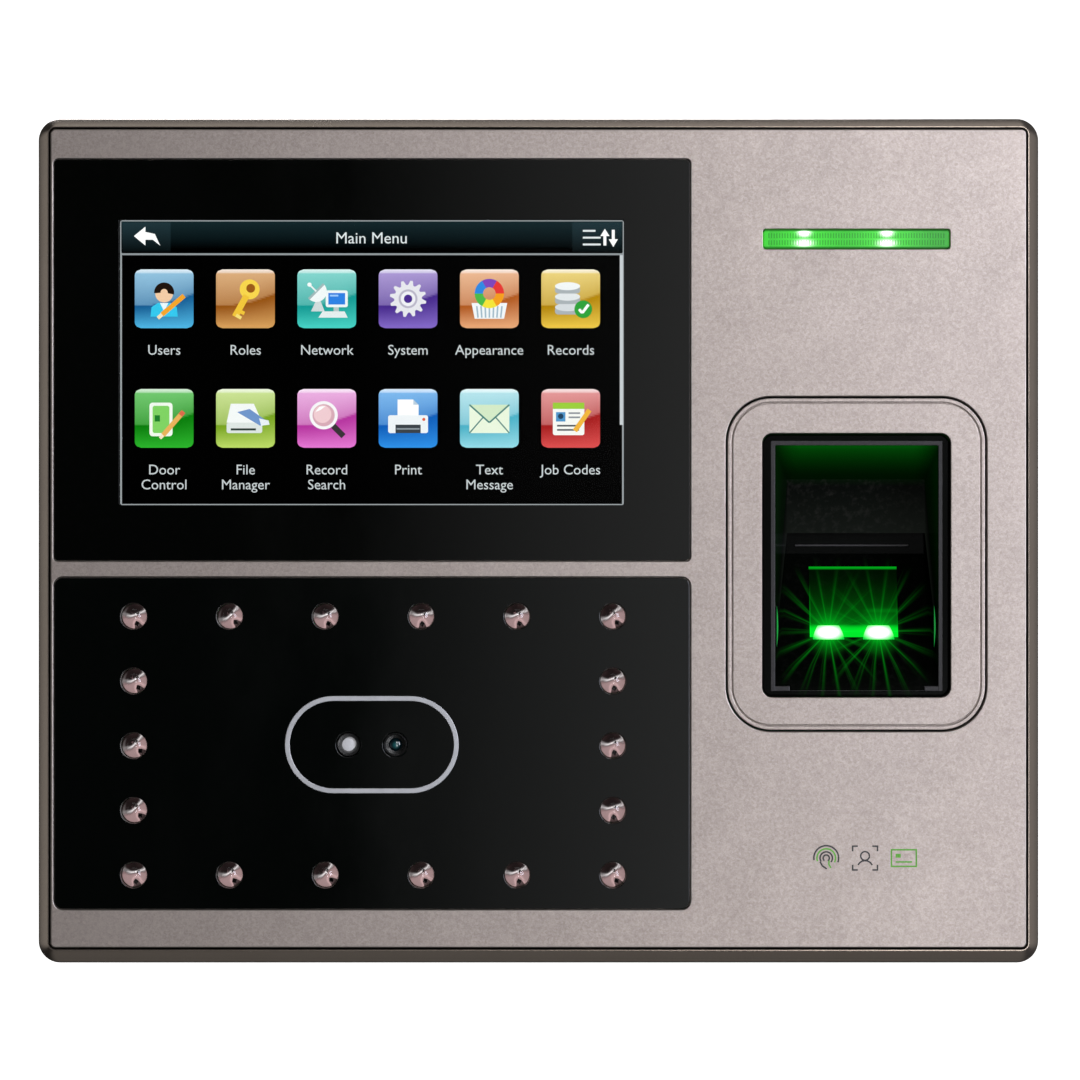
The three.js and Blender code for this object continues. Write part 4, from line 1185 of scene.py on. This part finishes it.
class Picture:
    """Flat coloured shapes laid over each other, placed in screen dots from the top left corner."""

    def __init__(self, area, depth):
        self.left, self.top, self.depth = area[0], area[3], depth
        self.bm = bmesh.new()
        self.glow = self.bm.verts.layers.float_color.new("glow")
        self.level = 0
        self.origin = (0.0, 0.0)

    def vert(self, x, y, shade):
        x, y = (x + self.origin[0]) * SCREEN_DOT, (y + self.origin[1]) * SCREEN_DOT
        depth = self.depth - LAYER * self.level
        made = self.bm.verts.new((self.left + x, depth, self.top - y))
        made[self.glow] = shade
        return made

    def face(self, verts):
        made = self.bm.faces.new(verts)
        made.normal_update()
        if made.normal.y > 0:
            made.normal_flip()

    def shape(self, points, shade):
        self.level += 1
        verts = [self.vert(x, y, colour(shade)) for x, y in points]
        for triangle in tessellate_polygon([[Vector((x, y, 0)) for x, y in points]]):
            self.face([verts[i] for i in triangle])

    def box(self, left, top, right, bottom, shade, corner=0.0):
        if corner:
            self.shape(rounded((left, right, top, bottom), corner, 5)(), shade)
        else:
            self.shape([(left, top), (right, top), (right, bottom), (left, bottom)], shade)

    def fill(self, left, top, right, bottom, shade, corner=0.0, columns=1, rows=24):
        """A box whose shade(across, down) changes over it."""
        self.level += 1
        lines = []
        for j in range(rows + 1):
            down = j / rows
            y = top + (bottom - top) * down
            gap = max(corner - (y - top), corner - (bottom - y), 0.0)
            inset = corner - math.sqrt(max(corner ** 2 - gap ** 2, 0.0))
            line = []
            for i in range(columns + 1):
                across = i / columns
                x = left + inset + (right - left - 2 * inset) * across
                line.append(self.vert(x, y, shade(across, down)))
            lines.append(line)
        for above, below in zip(lines, lines[1:]):
            for i in range(columns):
                self.face((above[i], above[i + 1], below[i + 1], below[i]))

    def disc(self, x, y, radius, shade, squash=1.0):
        self.shape([(px, y + (py - y) * squash) for px, py in disc(x, y, radius, 28)()], shade)

    def arc(self, x, y, inner, outer, start, end, shade):
        turns = [math.radians(start + (end - start) * s / 18) for s in range(19)]
        self.shape(
            [(x + outer * math.cos(a), y + outer * math.sin(a)) for a in turns]
            + [(x + inner * math.cos(a), y + inner * math.sin(a)) for a in reversed(turns)], shade)

    def line(self, start, end, width, shade):
        across = Vector((end[1] - start[1], start[0] - end[0])).normalized() * width / 2
        corners = ((start, 1), (end, 1), (end, -1), (start, -1))
        self.shape([(x + across.x * side, y + across.y * side) for (x, y), side in corners], shade)

    def text(self, words, x, y, size, shade):
        curve = bpy.data.curves.new("words", "FONT")
        curve.body = words
        curve.align_x = "CENTER"
        curve.size = size
        curve.resolution_u = 3
        holder = linked("words", curve)
        mesh = evaluated_mesh(holder)
        bpy.data.objects.remove(holder)
        self.level += 1
        verts = [self.vert(x + v.co.x, y - v.co.y, colour(shade)) for v in mesh.vertices]
        for polygon in mesh.polygons:
            self.face([verts[i] for i in polygon.vertices])
        bpy.data.meshes.remove(mesh)

    def mesh(self, name):
        mesh = bpy.data.meshes.new(name)
        self.bm.to_mesh(mesh)
        self.bm.free()
        mesh.transform(ON_FACE)
        return mesh


SCREEN_SIZE = (480, 272)
LCD_FRONT = 3.82
TILE = 56
TILE_LEFT, TILE_STEP = 13.9, 77.5
TILE_TOPS = (46.8, 160.8)
LABEL_LINES = (123.5, 237.6, 251.8)


def glossy_tile(top, deep, foot):
    """A tile's shades: a bright upper edge, a light upper half under a curve and a lit foot."""
    top, deep, foot = colour(top), colour(deep), colour(foot)

    def shade(across, down):
        curve = 0.62 - 0.2 * across ** 2
        if down < 0.07:
            return mixed(WHITE, top, 0.35 + down * 5)
        if down < curve:
            return mixed(mixed(top, WHITE, 0.06), mixed(top, deep, 0.6), down / curve)
        return mixed(deep, foot, ((down - curve) / (1 - curve)) ** 1.3)

    return shade


def draw_users(p):
    p.shape([(-13, 17), (-12, 8), (-6, 4), (6, 4), (12, 8), (13, 17)], "#35c4ea")
    p.shape([(-4, 4), (4, 4), (0, 12)], "#e9f6fb")
    p.disc(0, -5, 8.5, "#f2c9a4")
    p.arc(0, -6, 3.4, 9.6, 175, 372, "#20150f")
    p.line((-2, 15), (19, -3), 4.6, "#f2a32c")
    p.line((-2, 15), (-6, 18.5), 3.4, "#f7dfb4")


def draw_roles(p):
    p.disc(4, -9, 9.5, "#f6d24c")
    p.disc(5, -10, 4.2, "#9a5a18")
    p.line((1, -3), (-10, 17), 6, "#f0c23a")
    p.line((-7, 11), (-1, 14), 3.4, "#f0c23a")
    p.line((-9, 15.5), (-4, 18.5), 3.2, "#f6dc78")


def draw_network(p):
    p.shape([(-8, -3), (-15, 12), (-2, 12)], "#cfd8d8")
    p.arc(-10, -7, 0.2, 10, -45, 135, "#f1f5f5")
    p.line((-17.2, 0.2), (-2.8, -14.2), 2.2, "#9fb6b6")
    p.line((-10, -7), (-16, -13), 1.6, "#e6ecec")
    p.disc(-16.5, -13.5, 2, "#f7fafa")
    p.box(-1, -8, 20, 8, "#eef3f4", 2)
    p.box(1.5, -5.5, 17.5, 5.5, "#2f7fe0")
    p.line((3, -3), (11, -3), 1.6, "#9cc8f8")
    p.shape([(-4, 12), (17, 12), (20, 18), (-8, 18)], "#e3eaea")
    p.line((9, 8), (9, 12), 5, "#b9c6c6")


def draw_system(p):
    teeth = []
    for step in range(48):
        radius = 17.5 if step % 4 in (1, 2) else 13.2
        angle = 2 * math.pi * step / 48
        teeth.append((radius * math.cos(angle), radius * math.sin(angle)))
    p.shape(teeth, "#e6e4ea")
    p.disc(0, 0, 9, "#b9b4c6")
    p.disc(0, 0, 7, "#eeecf2")
    p.disc(0, 0, 4, "#4a2c8c")


def draw_display(p):
    p.shape([(-17, 4), (17, 4), (14, 19), (-14, 19)], "#f1f3f5")
    for x in range(-12, 13, 4):
        p.line((x, 7), (x * 0.9, 18), 1.5, "#9db4c4")
    wheel = ("#e53935", "#f39c1f", "#f2e03a", "#4cb648", "#2f86dd", "#7d46b8")
    for index, shade in enumerate(wheel):
        p.arc(0, -5, 6, 14, index * 60 - 60, index * 60, shade)


def draw_records(p):
    for y, shade in ((11, "#d5d9dc"), (1, "#e3e6e8"), (-9, "#f1f3f4")):
        p.box(-15, y - 3, 9, y + 4, "#a9b0b4", 3)
        p.disc(-3, y - 3, 12, shade, 0.32)
    p.disc(12, 10, 8.5, "#2f9e3a")
    p.line((8, 10), (11, 13.5), 2.6, "#ffffff")
    p.line((11, 13.5), (17, 5.5), 2.6, "#ffffff")


def draw_door(p):
    p.box(-14, -15, 8, 17, "#f0f6ea", 3)
    p.box(-11, -12, 5, 14, "#7fcf62", 2)
    p.box(-9, -3, -4, 3, "#1f7a2a")
    p.line((-1, 16), (18, -6), 4.6, "#e8b05a")
    p.line((-1, 16), (-4, 19), 3, "#f6e2c0")
    p.line((15.5, -3), (18.5, -6.5), 4.6, "#d96a4a")


def draw_files(p):
    p.shape([(-14, -14), (8, -14), (16, 4), (-18, 4)], "#f3f5f4")
    p.box(-18, 4, 16, 14, "#dde3e0", 2)
    p.line((-14, 10.5), (10, 10.5), 2, "#2b3a34")
    p.shape([(-8, -6), (4, -9), (21, 3), (14, 7)], "#6f93c8")
    p.shape([(13, 0), (22, 2), (23, 6), (15, 7)], "#e8edf3")


def draw_search(p):
    p.line((6, 7), (16, 17), 5.6, "#3a3338")
    p.disc(-3, -3, 13.5, "#f6f2f5")
    p.disc(-3, -3, 10.6, "#d7a7b4")
    p.disc(-4, -4, 8.4, "#efc9cf")
    p.shape([(-11, -6), (-7, -11), (-1, -12), (-6, -8)], "#ffffff")


def draw_print(p):
    p.shape([(-10, -18), (5, -18), (10, -13), (10, 1), (-10, 1)], "#ffffff")
    p.shape([(5, -18), (5, -13), (10, -13)], "#b9cbdc")
    p.box(-19, -3, 19, 14, "#eef1f4", 2)
    p.box(-12, 6, 12, 14, "#3b4147")
    p.line((-11, 10), (11, 10), 1.4, "#8d969e")
    p.disc(15, 1, 1.5, "#e05a3a")


def draw_messages(p):
    p.box(-19, -13, 19, 14, "#e9f3dc")
    p.shape([(-19, -13), (19, -13), (0, 4)], "#d3e6c4")
    p.line((-19, -13), (0, 4), 1.5, "#3f7f78")
    p.line((19, -13), (0, 4), 1.5, "#3f7f78")
    p.line((-19, 14), (-6, -1), 1.2, "#3f7f78")
    p.line((19, 14), (6, -1), 1.2, "#3f7f78")


def draw_codes(p):
    p.box(-17, -15, 13, 16, "#f5f4ef", 2)
    p.box(-17, -15, 13, -9, "#9acb3c")
    p.box(-14, -6, -5, 3, "#4f94c8")
    p.disc(-9.5, -2, 2.6, "#24445f")
    for y in (-5, -1):
        p.line((-2, y), (9, y), 1.6, "#8a9096")
    for y in (7, 11):
        p.line((-13, y), (8, y), 1.6, "#4c5258")
    p.line((4, 12), (18, -8), 4.6, "#f0b23c")


MENU = (
    ("#8cc0de", "#145a90", "#4fb4e2", ("Users",), draw_users),
    ("#dca870", "#94500f", "#d9a05c", ("Roles",), draw_roles),
    ("#79d2ca", "#119690", "#48cfc2", ("Network",), draw_network),
    ("#a891d2", "#452688", "#8468c6", ("System",), draw_system),
    ("#ecb48a", "#b0571a", "#e9a878", ("Appearance",), draw_display),
    ("#ecd070", "#b28404", "#ecc648", ("Records",), draw_records),
    ("#63c45e", "#0a7a0c", "#2cb02c", ("Door", "Control"), draw_door),
    ("#cbe08c", "#77a01c", "#bcd866", ("File", "Manager"), draw_files),
    ("#ecaae0", "#b4329c", "#e476d0", ("Record", "Search"), draw_search),
    ("#72b4ec", "#0f5cb6", "#2f8ee4", ("Print",), draw_print),
    ("#b4e2ea", "#4aaec4", "#94d8e4", ("Text", "Message"), draw_messages),
    ("#e49090", "#a41c1c", "#dc4e4e", ("Job Codes",), draw_codes),
)


def draw_header(p):
    """The bar over the menu: a title between a back arrow and a sorting sign."""
    p.fill(1, 1, 479, 31, lambda across, down: mixed(colour("#14262a"), BLACK, down * 1.15))
    for left, right in ((2, 48), (431, 478)):
        p.fill(left, 2, right, 30, lambda a, d: mixed(colour("#20343a"), colour("#060b0c"), d))
    p.box(1, 31.4, 479, 33.2, "#8f9599")
    p.shape([
        (13, 15), (24, 6), (24, 11), (33, 13), (38, 24), (31, 18.5), (24, 18.5), (24, 24)],
        "#ffffff")
    for y in (10, 16.5, 23):
        p.line((441, y), (453 if y < 12 else 458, y), 1.8, "#e2e6e8")
    p.line((462, 10), (462, 24), 2.8, "#ffffff")
    p.shape([(457.6, 15), (466.4, 15), (462, 8)], "#ffffff")
    p.line((470, 9), (470, 20), 2.8, "#ffffff")
    p.shape([(465.6, 18), (474.4, 18), (470, 25.5)], "#ffffff")
    p.text("Main Menu", 239.5, 22.0, 15.5, "#d9dee0")


def make_screen_picture():
    across, down = SCREEN_SIZE
    p = Picture(SCREEN_VIEW, LCD_FRONT)
    p.fill(0, 0, across, down, lambda a, d: colour("#9a9fa2"), rows=2)
    p.fill(1.6, 1.6, across - 1.6, down - 1.6, lambda a, d: colour("#010101"), rows=2)
    draw_header(p)
    p.box(476.2, 33.2, 479.2, 195, "#c9cdd0")
    ground = p.level
    for index, (top, deep, foot, words, draw) in enumerate(MENU):
        column, row = index % 6, index // 6
        left, upper = TILE_LEFT + TILE_STEP * column, TILE_TOPS[row]
        p.level = ground
        p.fill(left, upper, left + TILE, upper + TILE, glossy_tile(top, deep, foot), 6.0, 14, 40)
        p.origin = (left + TILE / 2, upper + TILE / 2)
        draw(p)
        p.origin = (0.0, 0.0)
        for line, word in enumerate(words):
            p.text(word, left + TILE / 2, LABEL_LINES[row + line] + 4.6, 13.6, "#c6cbcd")
    settle("screen_picture", p.mesh("screen_picture"), "terminal", ["screen"])


make_front_cover()
make_side_frame()
make_bezel()
make_well()
make_well_lip()
make_platen()
make_light_bar()
make_camera_window()
make_lamps()
make_cameras()
make_glass()
make_mark()
make_screen_picture()

# ------------------------------------------------------------------ carried-over nodes

CASE_SCREWS = ("case_screw_1", "case_screw_2", "case_screw_3", "case_screw_4")
TERMINAL_BLOCKS = ("terminal_block_upper", "terminal_block_lower")
# The finish of each node that is kept or softened. The rest are circuit boards and their parts.
NODE_FINISH = {
    "rear_case": "case", "power_jack": "case", "reset_button": "case", "tamper_plunger": "case",
    "tamper_switch": "case", "speaker": "case", "lcd_module": "ink", "wall_plate": "zinc",
    "security_screw": "zinc", "ethernet_port": "tin", "usb_port": "tin", "clock_battery": "tin",
    "usb_cover": "rubber", "screen_gasket": "rubber", "lcd_ribbon": "film", "board_ribbon": "film",
    "indicator_led_left": "light", "indicator_led_right": "light",
    **dict.fromkeys(CASE_SCREWS, "zinc"), **dict.fromkeys(TERMINAL_BLOCKS, "terminals"),
}
# Nodes whose edges are rounded: how far in millimetres, and the slot of their finish.
SOFTENED = (
    ("rear_case", 0.5, "case_plastic"), ("wall_plate", 0.15, "zinc_steel"),
    ("security_screw", 0.12, "zinc_steel"),
    *((screw, 0.12, "zinc_steel") for screw in CASE_SCREWS),
    ("ethernet_port", 0.15, "connector_shell"), ("usb_port", 0.1, "connector_shell"),
    ("power_jack", 0.25, "case_plastic"),
    *((block, 0.12, "terminal_plastic") for block in TERMINAL_BLOCKS),
    ("reset_button", 0.12, "case_plastic"), ("tamper_plunger", 0.15, "case_plastic"),
    ("usb_cover", 0.3, "soft_rubber"),
)
# Flat faces with many holes: their triangles are kept, because one large face would shade badly.
MANY_HOLES = ("wall_plate", "ethernet_port", *TERMINAL_BLOCKS)
# The dark insides of the sockets, as spans of x, depth and z from the wall.
INNER = {
    "ethernet_port": ((-39.95, -27.85), (-36.0, -21.75), (-23.0, -13.0)),
    "usb_port": ((-73.2, -58.3), (-39.2, -33.2), (-29, -16)),
}


def softened(node, edge):
    """The node's own shape with its sharp edges rounded off and its round faces smooth."""
    bm = bmesh.new()
    bm.from_mesh(frame["nodes"][node].data)
    bmesh.ops.remove_doubles(bm, verts=bm.verts, dist=0.004 * MM)
    if node not in MANY_HOLES:
        bmesh.ops.dissolve_limit(bm, angle_limit=math.radians(1), verts=bm.verts, edges=bm.edges)
    corner = math.radians(50)
    sharp = [e for e in bm.edges if e.is_manifold and abs(e.calc_face_angle(0.0)) > corner]
    bmesh.ops.bevel(
        bm, geom=sharp, offset=edge * MM, segments=2, profile=0.5, affect="EDGES",
        clamp_overlap=True)
    for face in bm.faces:
        face.smooth = node not in MANY_HOLES and face.calc_area() < 12 * MM * MM
        middle = face.calc_center_median() / MM
        inside = node in INNER and all(a < v < b for v, (a, b) in zip(middle, INNER[node]))
        face.material_index = int(inside)
    mesh = bpy.data.meshes.new(node + "_softened")
    bm.to_mesh(mesh)
    bm.free()
    mark_creases(mesh, 35)
    body = body_of(frame["nodes"][node])[0]
    finishes = [NODE_FINISH[node]] + ["ink"] * (node in INNER)
    settle(node + "_softened", mesh, body, finishes, [node])


# The springs of the network socket, and the ways and rows of the terminal blocks.
CONTACTS_AT = (-33.9, -26.6, -22.3)
CONTACT_COUNT, CONTACT_PITCH = 8, 1.02
WAYS, WAY_PITCH = 12, 3.81
WAYS_MIDDLE, WAYS_DEPTH = 8.86, -22.5
WAY_ROWS = (("upper", -14.8), ("lower", -33.8))


def make_network_contacts():
    """Eight gold springs along the floor of the network socket."""
    spring = Piece("network_contact").block((-0.2, -3.6, -0.12), (0.2, 3.6, 0.12), edge=0.05)
    place = ON_WALL @ Matrix.Translation(CONTACTS_AT)
    mesh = repeated(spring, CONTACT_COUNT, 1, (CONTACT_PITCH, 1.0), "gold", place)
    settle("network_contacts", mesh, "terminal", ["gold"])


def make_terminal_screws():
    """Slotted heads in the round recesses of the two terminal blocks, each slot a black bar laid on
    its head: painted shade where the cut would be.
    """
    profile = ((0.0, 0.0), (0.9, 0.0), (1.05, -0.15), (1.05, -0.6), (0.0, -0.6))
    for row, z in WAY_ROWS:
        place = ON_WALL @ Matrix.Translation((WAYS_MIDDLE, WAYS_DEPTH, z))
        head = Piece("screw_head").turned(profile, steps=20)
        # Painted shade: the slot is a black bar on the head, not a cut.
        slot = Piece("screw_slot").block((-0.85, -0.2, -0.16), (0.85, 0.03, 0.16))
        for part, finish in ((head, "zinc"), (slot, "ink")):
            mesh = repeated(part, WAYS, 1, (WAY_PITCH, 1.0), finish, place)
            settle(f"terminal_{part.name}s_{row}", mesh, "terminal", [finish])


for name, edge, slot in SOFTENED:
    softened(name, edge)
make_network_contacts()
make_terminal_screws()
for name, node in frame["nodes"].items():
    if not node.hide_render:
        node.data.materials.clear()
        node.data.materials.append(FINISH[NODE_FINISH.get(name, "board")])

# ------------------------------------------------------------------ stage, lights and camera

FLOOR_DROP = 0.5
DAYLIGHT = (0.95, 0.96, 1.0)
COOL = (0.81, 0.85, 1.0)
# How bright the surroundings are that the face mirrors, and those on each of its other sides.
WORLD = {
    "front_left": 0.015, "front_right": 0.52, "base": 0.025, "left": 0.6, "right": 0.42,
    "top": 0.86, "bottom": 0.22, "behind": 0.55,
}


def make_floor():
    """A pale floor well below the terminal, seen by the camera and by nothing else."""
    piece = linked("floor", bpy.data.meshes.new("floor"))
    bm = bmesh.new()
    bmesh.ops.create_grid(bm, x_segments=1, y_segments=1, size=12.0)
    bm.to_mesh(piece.data)
    bm.free()
    piece.data.transform(Matrix.Translation((0, 0, cad_box[0][2] - FLOOR_DROP)))
    made, g, shader = material("pale_floor", Roughness=0.9, Emission_Strength=1.0)
    shader.inputs["Emission Color"].default_value = WHITE
    pale = g.blend(g.noise(g.where(), 3.0), colour("#f4f4f2"), colour("#fbfbfa"))
    g.put(pale, shader.inputs["Base Color"])
    piece.data.materials.append(made)
    piece.visible_glossy = False
    piece.visible_diffuse = False
    piece.visible_transmission = False


def aimed(place, target):
    place, target = ON_FACE @ Vector(place), ON_FACE @ Vector(target)
    turn = (target - place).to_track_quat("-Z", "Y")
    return Matrix.Translation(place) @ turn.to_matrix().to_4x4()


def add_light(name, place, size, watts, tint):
    """A soft light aimed at the middle of the face, placed in face millimetres."""
    data = bpy.data.lights.new(name, "AREA")
    data.shape = "RECTANGLE"
    data.size = size[0] * MM
    data.size_y = size[1] * MM
    data.energy = watts
    data.color = tint
    linked(name, data).matrix_world = aimed(place, (0, 0, 0))


def set_world():
    """Soft surroundings: bright to both sides, above and behind, dim below, dark in between."""
    world = bpy.data.worlds.new("studio")
    world.use_nodes = True
    g = Graph(world.node_tree)
    backdrop = world.node_tree.nodes["Background"]
    way = g.add("ShaderNodeTexCoord").outputs["Generated"]
    turned = g.add("ShaderNodeVectorRotate", {"Vector": way, "Angle": TILT}, rotation_type="X_AXIS")
    x, depth, z = g.add("ShaderNodeSeparateXYZ", {0: turned.outputs[0]}).outputs
    front = g.span(x, -0.032, 0.03, WORLD["front_left"], WORLD["front_right"])
    lobes = WORLD["base"]
    for part, sign, side in ((x, -1, "left"), (x, 1, "right"), (z, 1, "top"), (z, -1, "bottom")):
        lobes = g.plus(g.span(part, 0.8 * sign, 0.97 * sign, 0.0, WORLD[side]), lobes)
    level = g.blend(g.span(depth, -0.75, -0.95), lobes, front)
    level = g.blend(g.span(depth, 0.75, 0.95), level, (WORLD["behind"],) * 3 + (1.0,))
    seen = g.add("ShaderNodeLightPath").outputs["Is Camera Ray"]
    g.put(g.blend(seen, level, WHITE), backdrop.inputs["Color"])
    bpy.context.scene.world = world


def add_camera():
    data = bpy.data.cameras.new("camera")
    data.lens = LENS
    data.sensor_width = 36
    data.clip_start = 0.05
    data.clip_end = 50
    camera = linked("camera", data)
    across, up = VIEW_ASIDE
    camera.matrix_world = aimed((across, -VIEW_DISTANCE, up), (across, 0, up))
    bpy.context.scene.camera = camera


make_floor()
add_light("key_softbox", (350, -330, 60), (220, 340), 2.3, COOL)
add_light("upper_strip", (130, -600, 170), (90, 200), 0.53, DAYLIGHT)
add_light("lower_strip", (130, -600, -170), (90, 200), 0.42, DAYLIGHT)
add_light("rear_softbox", (-120, 850, 620), (500, 400), 4.0, DAYLIGHT)
set_world()
add_camera()
bpy.context.scene.view_settings.view_transform = "Standard"
